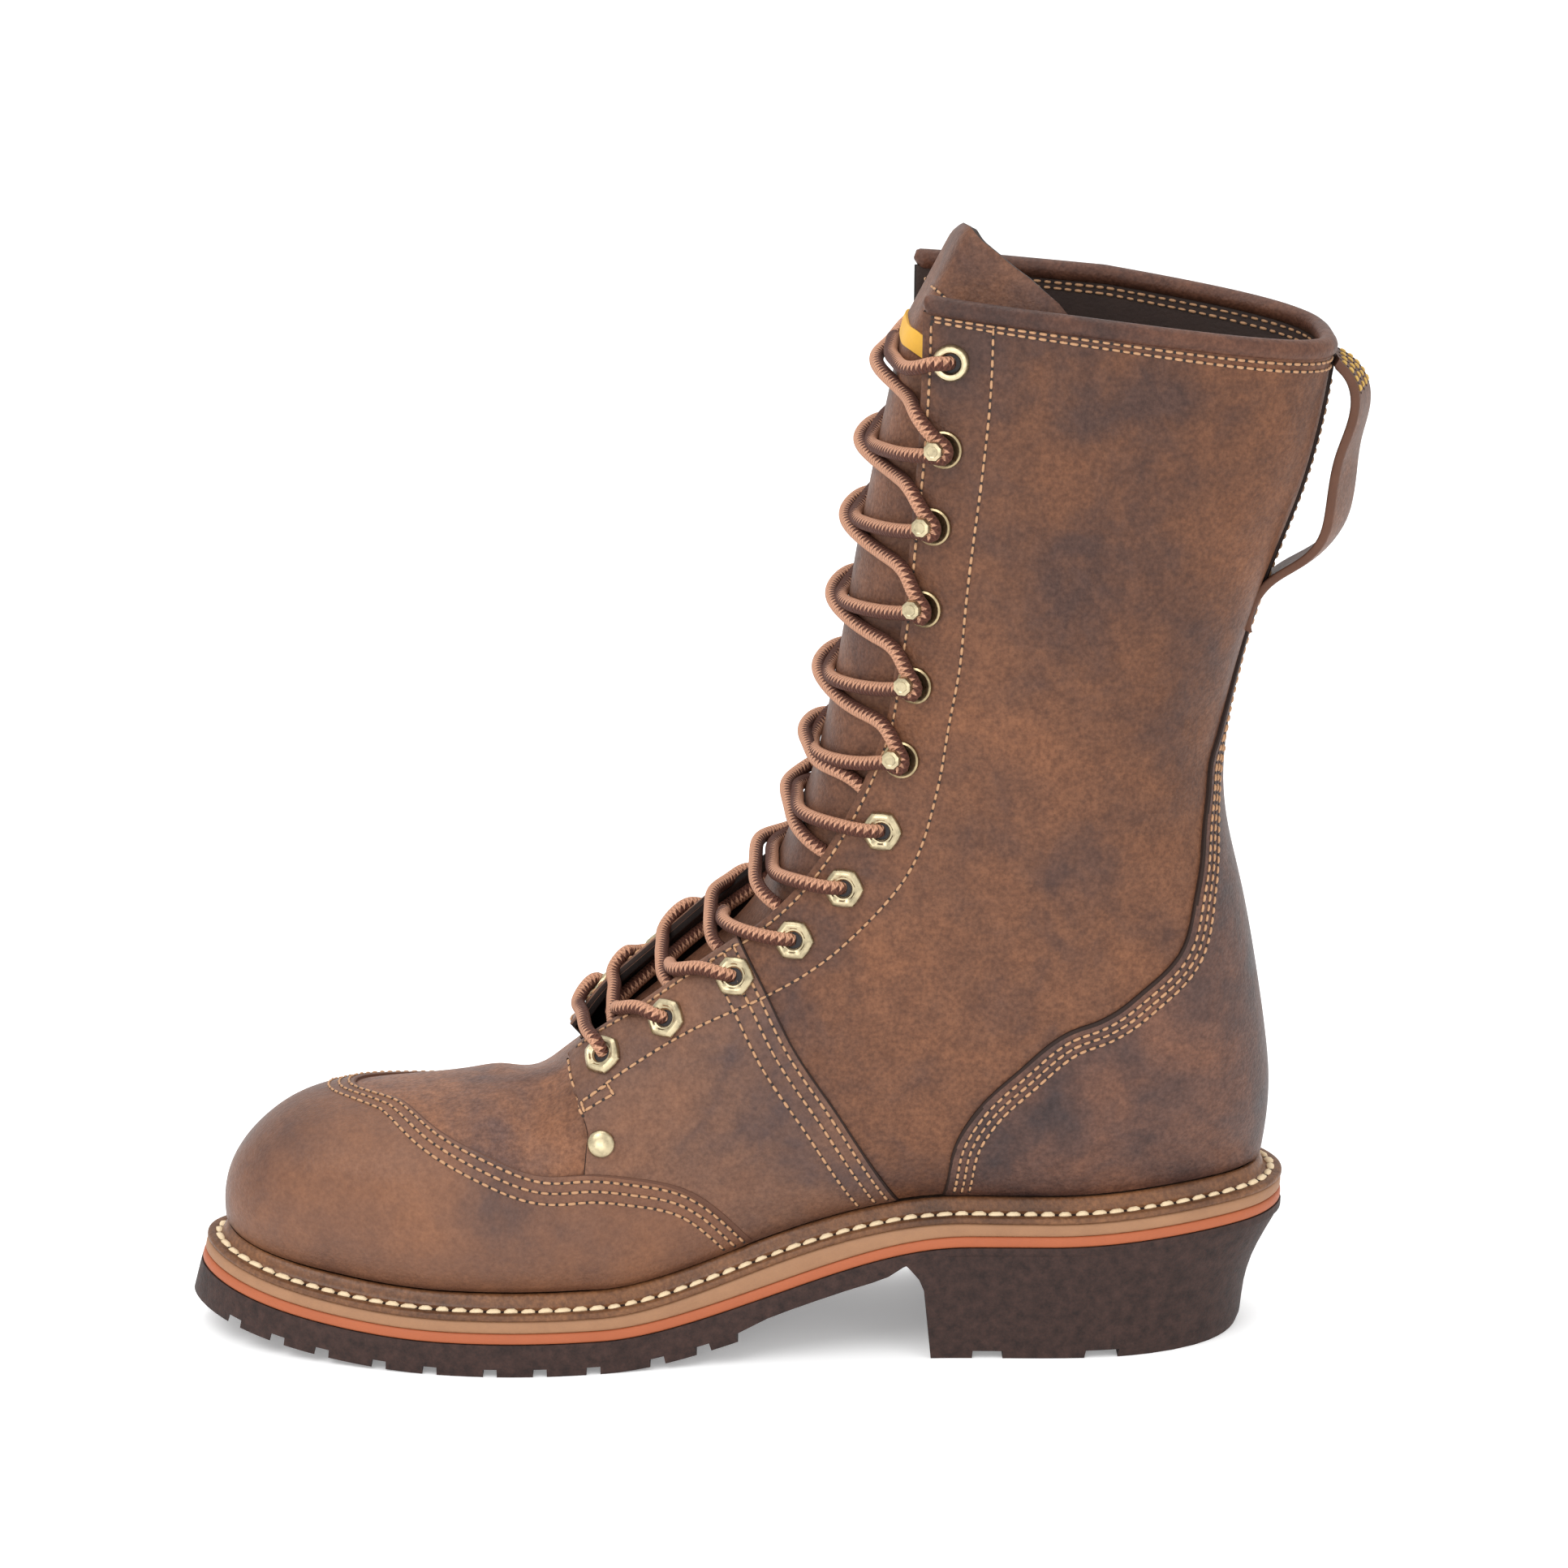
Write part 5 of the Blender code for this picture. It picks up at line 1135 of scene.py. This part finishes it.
mid_rows = [(14.0, A(GAP + ACCENT_T + 0.05)), (0.9, A(GAP + ACCENT_T + 0.05)), (0.5, A(GAP + ACCENT_T + 0.45)), (0.35, A(GAP + ACCENT_T + 1.0)),
            (0.3, lambda x: GAP + ACCENT_T + 0.6 * (mid_top(x) - GAP - ACCENT_T)),
            (0.4, lambda x: mid_top(x) - 0.45), (0.85, lambda x: mid_top(x) + 0.1), (14.0, lambda x: mid_top(x) + 0.1)]
mid = ring_piece("tan_midsole_band", mid_rows, [TAN_M], [0] * 8)
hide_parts("midsole")
acc_rows = [(14.0, A(0.05)), (0.8, A(0.05)), (0.4, A(0.4)), (0.25, A(0.9)), (0.2, A(1.7)), (0.25, A(2.6)), (0.4, A(3.0)), (0.8, A(3.35)), (14.0, A(3.35))]
acc = ring_piece("orange_midsole_band", acc_rows, [ORANGE_M], [0] * 9)
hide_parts("accent_midsole")


def base_t(x):
    return SEAT_T + (BASE_T - SEAT_T) * step((x + 51.0) / 13.0) + 1.7 * step((x + 8.0) / 14.0)


def slab(name, xs, shares, levels, half, lugs, trims, mats):
    """A piece of sole on stations and shares of its half-width; lug cells reach the last level."""
    nx, nf = len(xs), len(shares)
    verts, index, faces = [], {}, []
    base = len(levels) - 2 if lugs is not None else len(levels) - 1

    def at(i, j, level):
        k = (i, j, level)
        if k not in index:
            x, f = xs[i], shares[j]
            w = max(float(half(x, 1 if f >= 0 else -1)) - trims[level], 0.5)
            index[k] = len(verts)
            verts.append(levels[level](x, f * w))
        return index[k]

    low = lambda i, j: len(levels) - 1 if lugs is not None and lugs(i, j) else base
    for i in range(nx - 1):
        for j in range(nf - 1):
            faces.append((at(i, j, 0), at(i + 1, j, 0), at(i + 1, j + 1, 0), at(i, j + 1, 0)))
            d = low(i, j)
            faces.append((at(i, j + 1, d), at(i + 1, j + 1, d), at(i + 1, j, d), at(i, j, d)))
            for di, dj, a, b in ((1, 0, (i + 1, j), (i + 1, j + 1)), (0, 1, (i, j + 1), (i + 1, j + 1)),
                                 (-1, 0, (i, j), (i, j + 1)), (0, -1, (i, j), (i + 1, j))):
                ii, jj = i + di, j + dj
                inside = 0 <= ii < nx - 1 and 0 <= jj < nf - 1
                first = (low(ii, jj) if inside else 0)
                for level in range(first, d):
                    faces.append((at(*a, level), at(*b, level), at(*b, level + 1), at(*a, level + 1)))
    ob = build(name, verts, faces, mats, weld=True, sharp=40)
    bev = ob.modifiers.new("soft_edges", 'BEVEL')
    bev.width, bev.segments, bev.limit_method, bev.angle_limit = 0.0006, 2, 'ANGLE', math.radians(42)
    return ob


HEEL_ENDS = [HEEL_X + d for d in (0.25, 0.9, 2.0, 3.6, 5.6, 8.2, 11.6, 16.5)]
TOE_ENDS = [TOE_X - d for d in (10.6, 7.6, 5.2, 3.2, 1.7, 0.7, 0.15)]
LEVEL = lambda h: (lambda x, y: sole_pt(x, y, h(x) if callable(h) else h))
# Forefoot lugs along the boot:  from   to
LUGS = [(4.5, 12.0), (16.0, 24.5), (28.5, 41.5), (45.5, 57.0), (61.0, 71.5), (75.5, 89.0),
        (93.0, 103.5), (107.5, 120.0), (124.0, 133.0), (137.0, 146.0), (149.6, TOE_X)]
SHARES = [-1.0, -0.60, -0.50, -0.07, 0.07, 0.50, 0.60, 1.0]
tread_x = (HEEL_ENDS + [-128.0, -117.0, -106.0, -92.0, -79.0, -69.0, -52.0, -45.0, -38.0, -22.0, -8.0]
           + sorted({x for lug in LUGS for x in lug} - {TOE_X}) + TOE_ENDS[1:])


marks = sorted({x for lug in LUGS for x in lug} - {TOE_X})
tread = HEEL_ENDS + list(np.linspace(-138.0, -52.0, 20)) + [-46.0, -41.0, -36.0, -28.0, -20.0, -12.0, -5.0]
for a, b in zip(marks[:-1], marks[1:]):
    tread += list(np.linspace(a, b, 4)[:-1])
tread += [marks[-1]] + TOE_ENDS
tread = [x for x in tread]
fine_f = sorted(set([round(x, 4) for x in SHARES] + [-0.86, -0.73, -0.28, 0.28, 0.73, 0.86, 0.0]))


def in_lug(i, j):
    mid, f = (tread[i] + tread[i + 1]) / 2, (fine_f[j] + fine_f[j + 1]) / 2
    k = int(np.searchsorted(SHARES, f)) - 1
    return k % 2 == 0 and any(a < mid < b for a, b in LUGS)


outsole = slab("tread_sole", tread, fine_f,
               [LEVEL(0.0), LEVEL(lambda x: -0.55 * base_t(x)), LEVEL(lambda x: -base_t(x)), LEVEL(-TREAD_T)],
               rim_half, in_lug, [0.15, 0.1, 0.4, 1.0], [RUBBER_M])
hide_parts("outsole")

HEEL_LEVELS = [(1.00, -159.2, 0.3), (0.92, -157.9, 0.5), (0.80, -155.6, 0.7), (0.68, -153.5, 0.9), (0.58, -152.0, 1.0),
               (0.46, -150.7, 1.1), (0.34, -149.8, 1.2), (0.20, -149.2, 1.35), (0.075, -148.8, 1.5), (0.0, -147.9, 2.0)]
BREAST = -52.0
heel_st = HEEL_ENDS + [-136.0, -128.0, -122.0, -117.0, -111.5, -106.0, -99.0, -92.0, -85.0, -79.0, -74.0, -69.0, -60.0, BREAST]
heel_f = [-1.0, -0.8, -0.62, -0.45, -0.15, 0.15, 0.45, 0.62, 0.8, 1.0]


def heel_level(share, back, trim):
    def f(x, y):
        k = (BREAST - back) / (BREAST - HEEL_ENDS[0])
        ztop = float(sole_z(x)) - SEAT_T + 0.05
        front = step((x + 69.0) / 17.0) * (3.0 * (1 - share) - 7.0 * max(0.0, (share - 0.62) / 0.38) ** 2.2)
        return np.array([BREAST + (x - BREAST) * k - front, y, ztop * share])
    return f


def heel_lug(i, j):
    mid, f = (heel_st[i] + heel_st[i + 1]) / 2, (heel_f[j] + heel_f[j + 1]) / 2
    return not (-117.0 < mid < -106.0 or -79.0 < mid < -69.0) or abs(f) < 0.45


heel = slab("heel_block", heel_st, heel_f, [heel_level(*r) for r in HEEL_LEVELS], rim_half, heel_lug,
            [r[2] for r in HEEL_LEVELS], [RUBBER_M])
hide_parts("heel")

# Footbed, a little hollow in the middle.
INNER = inset(FEATHER, WALL + 0.6)
inner_half, I_HEEL, I_TOE = sides(INNER)
fx = np.concatenate([I_HEEL[0] + np.array([0.3, 1.4, 3.2, 6.0, 10.0]), np.linspace(I_HEEL[0] + 15, I_TOE[0] - 15, 60),
                     I_TOE[0] - np.array([10.0, 6.0, 3.2, 1.4, 0.3])])
ff = np.linspace(-1, 1, 25)
bed = []
for x in fx:
    for f in ff:
        y = f * float(inner_half(x, 1 if f >= 0 else -1))
        bed.append(sole_pt(x, y, mid_top(x) + GAP + 2.4 + 1.4 * f * f))
low_bed = [p - np.array([0, 0, 2.0]) for p in bed]
q = quads(len(fx), len(ff))
m = len(bed)
edge = np.concatenate([q[:, [0, 1]], q[:, [1, 2]], q[:, [2, 3]], q[:, [3, 0]]])
code = edge[:, 0].astype(np.int64) * m + edge[:, 1]
free = edge[~np.isin(code, edge[:, 1].astype(np.int64) * m + edge[:, 0])]
faces = np.concatenate([q, (q + m)[:, ::-1], np.stack([free[:, 1], free[:, 0], free[:, 0] + m, free[:, 1] + m], 1)])
footbed = build("footbed_board", np.array(bed + low_bed), faces.tolist(), [BOARD_M], weld=True)
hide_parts("insole")


# ------------------------------------------------------------- eyelets, hooks, rivets
class Pile:
    """Several turned pieces gathered into one mesh."""

    def __init__(self):
        self.v, self.f, self.k = [], [], []

    def turned(self, place, normal, rows, n, kind, closed=False, spin=0.0, shape=None, lean=None):
        z = np.asarray(normal, float) / np.linalg.norm(normal)
        x = np.cross([0.0, 0.0, 1.0], z)
        x /= np.linalg.norm(x)
        y = np.cross(z, x)
        base = len(self.v)
        for r, h in rows:
            for a in range(n):
                w = 2 * math.pi * a / n + spin
                rr = r * (shape(w, h) if shape else 1.0)
                p = np.asarray(place) + x * rr * math.cos(w) + y * rr * math.sin(w) + z * h
                if lean is not None:
                    p = p + lean * h
                self.v.append(p)
        k = len(rows)
        for i in range(k if closed else k - 1):
            j = (i + 1) % k
            for a in range(n):
                b = (a + 1) % n
                self.f.append((base + i * n + a, base + i * n + b, base + j * n + b, base + j * n + a))
                self.k.append(kind)
        if not closed:
            self.f += [tuple(base + a for a in range(n))[::-1], tuple(base + (k - 1) * n + a for a in range(n))]
            self.k += [kind, kind]

    def make(self, name, mats, sharp=35):
        return build(name, np.array(self.v), self.f, mats, self.k, weld=False, sharp=sharp)


STATIONS = [(12.4, 11.0), (13.6, 10.0), (14.8, 10.0), (15.8, 10.8), (16.9, 11.2), (18.1, 12.0),
            (19.6, 7.5), (21.3, 7.0), (23.0, 6.5), (24.7, 6.5), (26.3, 7.0), (28.0, 8.5)]
HOOKS = range(6, 11)


def hexed(w, h):
    """Six flats on the outer part of an eyelet."""
    flat = math.cos(math.pi / 6) / math.cos((w % (math.pi / 3)) - math.pi / 6)
    return 1.0 if 0.9 < h < 1.5 else 0.36 + 0.64 * flat * 1.04


WASHER = [(2.45, 0.92), (2.55, 1.0), (2.85, 1.42), (3.3, 1.48), (3.9, 2.0), (4.5, 2.1), (5.4, 1.6), (5.85, 0.9), (5.85, 0.05), (2.45, 0.05)]
GROMMET = [(2.7, 0.1), (2.75, 1.1), (3.2, 1.75), (3.9, 1.95), (4.6, 1.75), (5.1, 1.1), (5.15, 0.1)]
HOOK_BASE = [(1.3, 0.1), (1.3, 0.65), (3.4, 0.7), (4.1, 1.2), (4.7, 1.35), (5.2, 1.05), (5.3, 0.5), (5.25, 0.1)]
HOOK_NECK = [(1.3, 0.5), (0.9, 2.2), (1.3, 5.4)]
HOOK_HEAD = [(1.4, 4.9), (2.4, 5.05), (2.75, 5.4), (2.8, 6.8), (2.6, 7.3), (1.7, 7.5), (1.4, 7.3)]
RIVET = [(4.0, 0.2), (4.0, 0.7), (3.7, 1.2), (2.9, 1.7), (1.6, 2.05), (0.5, 2.1)]
# The flat disc profile below is painted shade inside an eyelet hole.
HOLE_SHADE_DISC = [(2.95, 0.15), (2.95, 0.45)]
spots = {}
# holes gathers those dark discs: painted shade in the eyelet holes.
hardware, holes = Pile(), Pile()
for side, word in ((1, "medial"), (-1, "lateral")):
    for k, (t, depth) in enumerate(STATIONS):
        v = float(from_facing(t, depth, side)[0])
        off = WING_H if k < 3 else 0.0
        p, n = S(t, v, off), sample(N, t, v)
        spots[(side, k)] = (t, v, p, n, off)
        if k in HOOKS:
            back = S(t, v - 0.004 * side) - S(t, v)
            hardware.turned(p + back / np.linalg.norm(back) * 1.4, n, HOOK_BASE, 28, 1, True)
            hardware.turned(p, n, HOOK_NECK, 14, 1)
            hardware.turned(p, n, HOOK_HEAD, 8, 0, spin=0.39)
        elif k == 11:
            hardware.turned(p, n, GROMMET, 24, 0, True)
            holes.turned(p, n, HOLE_SHADE_DISC, 16, 0)
        else:
            hardware.turned(p, n, WASHER, 36, 0, True, shape=hexed, spin=0.0)
            holes.turned(p, n, HOLE_SHADE_DISC, 16, 0)
    t, v = 11.88, 0.242 if side > 0 else 1 - 0.242
    hardware.turned(S(t, v, WING_H), sample(N, t, v), RIVET, 28, 0)
metal = hardware.make("brass_fittings", [BRASS, BRASS_DK])
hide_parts(*[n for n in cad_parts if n.startswith(("eyelet_", "hook_", "rivet_"))])
hole_shade_discs = holes.make("eyelet_hole_shade_discs", [HOLE_SHADE])

# ------------------------------------------------------------- lace
LACE_R = 2.05
lace_v, lace_f, lace_uv, lace_len = [], [], [], 0.0
lace_base = 0


def add_cord(points, gap=1.1, turn=0.24):
    global lace_base, lace_len
    pts = even(points, gap)
    v, f, uv = tube_arrays(pts, LACE_R, 14, lace_base, np.array([0.0, 0.97, 0.24]))
    lace_v.append(v)
    lace_f.extend(f)
    lace_uv.extend((a, b + turn) for a, b in uv)
    lace_base += len(v)
    lace_len += float(np.linalg.norm(np.diff(pts, axis=0), axis=1).sum())


def gap_v(side, q):
    """Across the throat: q 0 at the facing edge of side, 1 at the other one."""
    v = FACE_V + (1 - 2 * FACE_V) * q
    return v if side > 0 else 1 - v


hug = lambda t: float(tongue_in(t)) + LACE_R + 0.15


def at_level(z, v, t, low=12.0):
    """Section near t where the surface at share v is z high."""
    near = np.linspace(max(t - 4.5, low), min(t + 2.6, LAST), 220)
    return float(np.interp(z, np.maximum.accumulate(S_in(near, np.full(220, v))[:, 2]), near))


top_of = lambda k: (WING_H if k < 3 else 0.0) + LACE_R
height = lambda k: float(S_in(spots[(1, k)][0], spots[(1, k)][1])[2])
ARRIVE = [0.0, -2.5, -4.0, -0.5, 0.0, 2.5] + [-2.5] * 5 + [0.0]     # how far over fastening k a rising strand comes in


def crossing(z, side, q, t, lift=0.0, least=-99.0):
    """A strand's place over the tongue, z high, share q of the way across."""
    tl = at_level(z, gap_v(side, q), t)
    return S_in(tl, gap_v(side, q), max(hug(tl) + lift, least))


def into(side, k):
    """The end that dives into eyelet k from outside."""
    t, v, p, n, off = spots[(side, k)]
    lip_v = FACE_V if side > 0 else 1 - FACE_V
    pts = []
    for share, up in ((0.55, 0.3), (0.2, -0.3)):
        w = (1 - share) * v + share * lip_v
        pts.append(S(at_level(height(k) + 0.4 * share, w, t, 12.15), w, top_of(k) + up))
    return pts + [S(t, v, off - 1.4)]


def rung(k):
    """Level strand from the outer fastening k to the inner one."""
    t, z = STATIONS[k][0], height(k)
    pts = []
    if k not in HOOKS:
        pts += [S(t - 0.05, from_facing(t - 0.05, 6.0, -1)[0], -WALL - 1.7), S_in(at_level(z - (7.0 if k < 4 else 0.0), 0.572, t), 0.572, max(hug(t), -4.7) if k < 4 else -1.9)]
    dip = {1: 3.5, 2: 3.5, 11: 0.5}.get(k, 5.5 if k in HOOKS else -1.0)
    for q in (0.3, 0.5, 0.7):
        fall = dip * math.sin(math.pi * q) + (4.0 * step((0.6 - q) / 0.4) if k < 4 else 0.0)
        pts.append(crossing(z - float(fall), -1, q, t, least=-6.6 + 8.0 * q if k < 4 else -99.0))
    v = gap_v(1, -0.02)
    pts.append(S(at_level(z - 0.45 * dip, v, t), v, top_of(k) - 0.35))
    return pts + (into(1, k) if k not in HOOKS else [])


def rise_over(k):
    """Strand from under the inner facing at k, up and across to the outer fastening k + 1."""
    t0, t1, z0, z1 = STATIONS[k][0], STATIONS[k + 1][0], height(k), height(k + 1)
    hooked = k in HOOKS
    start, end = z0 + (0.36 if hooked else 0.6) * (z1 - z0), z1 + ARRIVE[k + 1]
    v = gap_v(1, -0.02)
    if hooked:
        pts, first = [S(at_level(start, v, t0), v, top_of(k) - 0.35)], 0.12
    else:
        pts = [S(t0 + 0.2, from_facing(t0 + 0.2, 6.0, 1)[0], -WALL - 1.7), S_in(at_level(start, 0.427, t0), 0.427, -1.9)]
        first = 0.25
    for q in (first, 0.45, 0.65, 0.82):
        pts.append(crossing(start + (end - start) * q ** 0.65, 1, q, t1, (2.0 if k < 4 else 3.1) * float(step((q - 0.3) / 0.35)),
                            -1.9 + 3.6 * q if k < 4 else -99.0))
    v = gap_v(-1, -0.03)
    pts.append(S(at_level(end, v, t1), v, top_of(k + 1) - (1.3 if k < 4 else 0.2)))
    return pts + (into(-1, k + 1) if k + 1 not in HOOKS else [])


def round_hook(side, k):
    """Round the back of a hook's neck, from below to above it."""
    t, v, p, n, off = spots[(side, k)]
    up = S(t + 0.1, v) - S(t - 0.1, v)
    up = up / np.linalg.norm(up)
    to_throat = S(t, v + 0.004 * side) - S(t, v)
    to_throat = to_throat / np.linalg.norm(to_throat)
    r = 2.3
    lift = n * (0.9 + LACE_R)
    pts = []
    for w in (-95, -48, 0, 48, 95):
        c, s = math.cos(math.radians(w)), math.sin(math.radians(w))
        pts.append(p + lift - to_throat * (r * c + 0.7) + up * r * s)
    return pts


# bar across the lowest pair
t1 = STATIONS[0][0]
a, b = spots[(1, 0)], spots[(-1, 0)]
over = WING_H + LACE_R
z0 = height(0)
bar = [S(t1, a[1], -0.4), S(t1 + 0.03, a[1] + 0.012, over - 0.2)]
for v, z, up in ((0.41, 3.0, 0.0), (0.45, 3.5, 0.0), (0.5, 3.0, 0.2), (0.55, 2.0, 0.4), (0.585, 1.5, 0.3)):
    bar.append(S(at_level(z0 + z, v, t1, 11.9), v, over + up))
add_cord(bar + [S(t1 + 0.05, b[1] - 0.012, over - 0.2), S(t1, b[1], -0.4)])
for k in range(1, 6):
    add_cord(rung(k))
for k in range(5):
    add_cord(rise_over(k))
path = rise_over(5)
for k in HOOKS:
    path += round_hook(-1, k)[::-1] + rung(k) + round_hook(1, k) + rise_over(k)
add_cord(path)
add_cord(rung(11))
lace = build("lace_cord_laced", np.concatenate(lace_v), lace_f, [LACE_M], uv=lace_uv, sharp=80)
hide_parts(*[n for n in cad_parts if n.startswith("lace_")])

# ------------------------------------------------------------- seams
gold = []
cap_t, cap_v = curve(CAP_LINE, 420)
for d in (1.9, 4.8, 7.9):
    t, v = shift_curve(cap_t, cap_v, -d)
    ok = (v > 0.012) & (v < 0.988)
    t, v = t[ok], v[ok]
    if t.mean() > cap_t.mean():
        t, v = shift_curve(cap_t, cap_v, d)
        ok = (v > 0.012) & (v < 0.988)
        t, v = t[ok], v[ok]
    gold.append(seam(t, v, tuck(t, v, 1.0, 3.0) * cap_h(t, v) + 0.12))


def both_sides(points, shifts, height, lo=0.012, hi=0.5, count=260, toward=None):
    """Stitch rows beside a line on both sides of the boot; toward: -1 front, +1 back."""
    t0, v0 = curve(points, count)
    for d in shifts:
        t, v = shift_curve(t0, v0, d)
        if toward is not None and (t.mean() - t0.mean()) * toward < 0:
            t, v = shift_curve(t0, v0, -d)
        ok = (v > lo) & (v < hi)
        t, v = t[ok], v[ok]
        h = height(t, v) if callable(height) else height
        gold.append(seam(t, v, h + 0.12 if np.isscalar(h) else h + 0.12))
        gold.append(seam(t, 1 - v, h + 0.12 if np.isscalar(h) else h + 0.12))


wing_hh = lambda t, v: tuck(t, v, WING_H)
both_sides(WING_BACK, (2.3, 5.8, 10.6), wing_hh, toward=-1, hi=0.412)
both_sides([p for p in WING_FRONT if p[1] > 0.2], (2.2,), wing_hh, toward=1, lo=0.29, hi=0.412)
counter_hh = lambda t, v: np.where(t < CORNER, tuck(t, v, COUNTER_H), COUNTER_H)
t0, v0 = curve(COUNTER_LINE, 420)
for d in (2.7, 4.9, 7.1):
    t, v = shift_curve(t0, v0, d)
    if v.mean() > v0.mean():
        t, v = shift_curve(t0, v0, -d)
    ok = (v > 0.006) & (t < 28.6) & (from_foot(t, v) > 3.0)
    if d > 3:
        ok &= t < 24.5 - (d - 4.9) * 0.16
    t, v = t[ok], v[ok]
    gold.append(seam(t, v, counter_hh(t, v) + 0.12))
    gold.append(seam(t, 1 - v, counter_hh(t, v) + 0.12))
for side in (1, -1):
    tt = np.linspace(11.95, 28.7, 300)
    vv = from_facing(tt, 2.6, side)
    gold.append(seam(tt, vv, np.where(tt < 15.12, WING_H, 0.0) + 0.12))
second = [(28.9, 0.361), (25.92, 0.356), (22.85, 0.357), (19.30, 0.366), (17.75, 0.355), (16.50, 0.350),
          (15.05, 0.343), (14.50, 0.342), (13.07, 0.337), (11.95, 0.312)]
both_sides(second, (0.0,), lambda t, v: np.where(t < 15.02, WING_H, 0.0))
for drop in (2.0, 4.2):
    tt = LAST - drop / 19.0
    vv = np.concatenate([np.linspace(0.412, 0.024, 200)])
    gold.append(seam(np.full(200, tt), vv, 0.12))
    gold.append(seam(np.full(200, tt), 1 - vv, 0.12))
box = [(11.80, 0.296), (12.34, 0.303), (12.31, 0.3185), (11.80, 0.311), (11.80, 0.296)]
for a, b in zip(box, box[1:]):
    t, v = np.linspace(a[0], b[0], 30), np.linspace(a[1], b[1], 30)
    gold.append(seam(t, v, WING_H + 0.12))
    gold.append(seam(t, 1 - v, WING_H + 0.12))
for cols in (slice(4, 28), slice(33, -4)):
    gold.append((TONGUE_FACE[-12, cols] + TONGUE_N[-12, cols] * 0.15, TONGUE_N[-12, cols]))
gold_st = stitch_mesh("upper_stitches", gold, [THREAD, NEEDLE], 2.9, 2.3, 0.80, 0.62, 0.52)

inner_rows = []
for drop in (2.2, 4.4):
    tt = np.full(220, LAST - drop / 19.0)
    for vv in (np.linspace(0.40, 0.01, 220), np.linspace(0.99, 0.60, 220)):
        inner_rows.append((S(tt, vv, -WALL - 0.12), -sample(N, tt, vv)))
inside = stitch_mesh("lining_stitches", inner_rows, [THREAD, NEEDLE], 3.0, 2.3, 0.9, 0.6, 0.5)
strap_st = stitch_mesh("strap_stitches", strap_lines, [YELLOW, NEEDLE], 2.8, 2.2, 0.9, 0.7, 0.5)

welt_line = []
for o, i in zip(out_xy, in_xy):
    d = (i - o) / np.linalg.norm(i - o)
    x, y = o + d * 3.4
    welt_line.append(sole_pt(x, y, mid_top(x) + GAP + 1.75))
welt_line = np.array(welt_line + welt_line[:1])
up_n = np.array([sole_pt(p[0], p[1], 1.0) - sole_pt(p[0], p[1], 0.0) for p in welt_line])
welt_st = stitch_mesh("welt_stitches", [(welt_line, up_n)], [CREAM, NEEDLE], 5.0, 4.7, 2.4, 1.35, 0.85, turn=0.12)

# ------------------------------------------------------------- floor, light, camera
def floor_material():
    n = Nodes("pale_floor_painted_glow")
    tone = n.noise(1.3, 3.0, 0.5)
    col = n.mix(tone, (0.93, 0.93, 0.93, 1.0), (0.97, 0.97, 0.97, 1.0))
    # Painted light: the floor glows a little so the boot's shadow on it comes out lighter.
    n.out.inputs["Emission Color"].default_value = (1.0, 1.0, 1.0, 1.0)
    n.out.inputs["Emission Strength"].default_value = 0.22
    return n.done(col, n.span(tone, 0.2, 0.8, 0.75, 0.85), None, spec=0.2)


me = bpy.data.meshes.new("floor")
me.from_pydata([(-14, -14, 0), (14, -14, 0), (14, 14, 0), (-14, 14, 0)], [], [(0, 1, 2, 3)])
me.materials.append(floor_material())
floor = bpy.data.objects.new("floor", me)
bpy.context.scene.collection.objects.link(floor)

world = bpy.data.worlds.new("studio")
world.use_nodes = True
world.node_tree.nodes["Background"].inputs["Color"].default_value = (1.0, 1.0, 1.0, 1.0)
world.node_tree.nodes["Background"].inputs["Strength"].default_value = 1.0
bpy.context.scene.world = world


def light(name, place, target, size, power, color=(1, 1, 1)):
    lamp = bpy.data.lights.new(name, 'AREA')
    lamp.shape, lamp.size, lamp.energy, lamp.color = 'DISK', size, power, color
    ob = bpy.data.objects.new(name, lamp)
    ob.location = place
    ob.rotation_mode = 'QUATERNION'
    ob.rotation_quaternion = (Vector(target) - Vector(place)).to_track_quat('-Z', 'Y')
    bpy.context.scene.collection.objects.link(ob)


light("key", (0.7, 0.9, 1.5), (0, 0, 0.12), 1.2, 13)
light("fill", (-1.1, 1.0, 0.9), (0, 0, 0.15), 1.2, 3)
light("low", (0.35, 1.9, 0.35), (0.02, 0, 0.06), 1.0, 7)
light("top", (0.0, -0.4, 1.8), (0, 0, 0.1), 1.4, 9)
bpy.context.scene.view_settings.view_transform = 'Standard'

cam = bpy.data.cameras.new("camera")
cam.sensor_width, cam.lens = 36.0, 36.0 * 5539 / 1932
cam.shift_x, cam.shift_y = (966 - 915.5) / 1932, (1030 - 966) / 1932
cam.clip_start, cam.clip_end = 0.05, 60
eye = bpy.data.objects.new("camera", cam)
eye.location = ((0 + SHIFT[0]) * MM, (1250 + SHIFT[1]) * MM, 0.530)
eye.rotation_euler = (math.radians(90 - 16.909), 0, math.pi)
bpy.context.scene.collection.objects.link(eye)
bpy.context.scene.camera = eye

print("LACE mm", round(lace_len, 1))
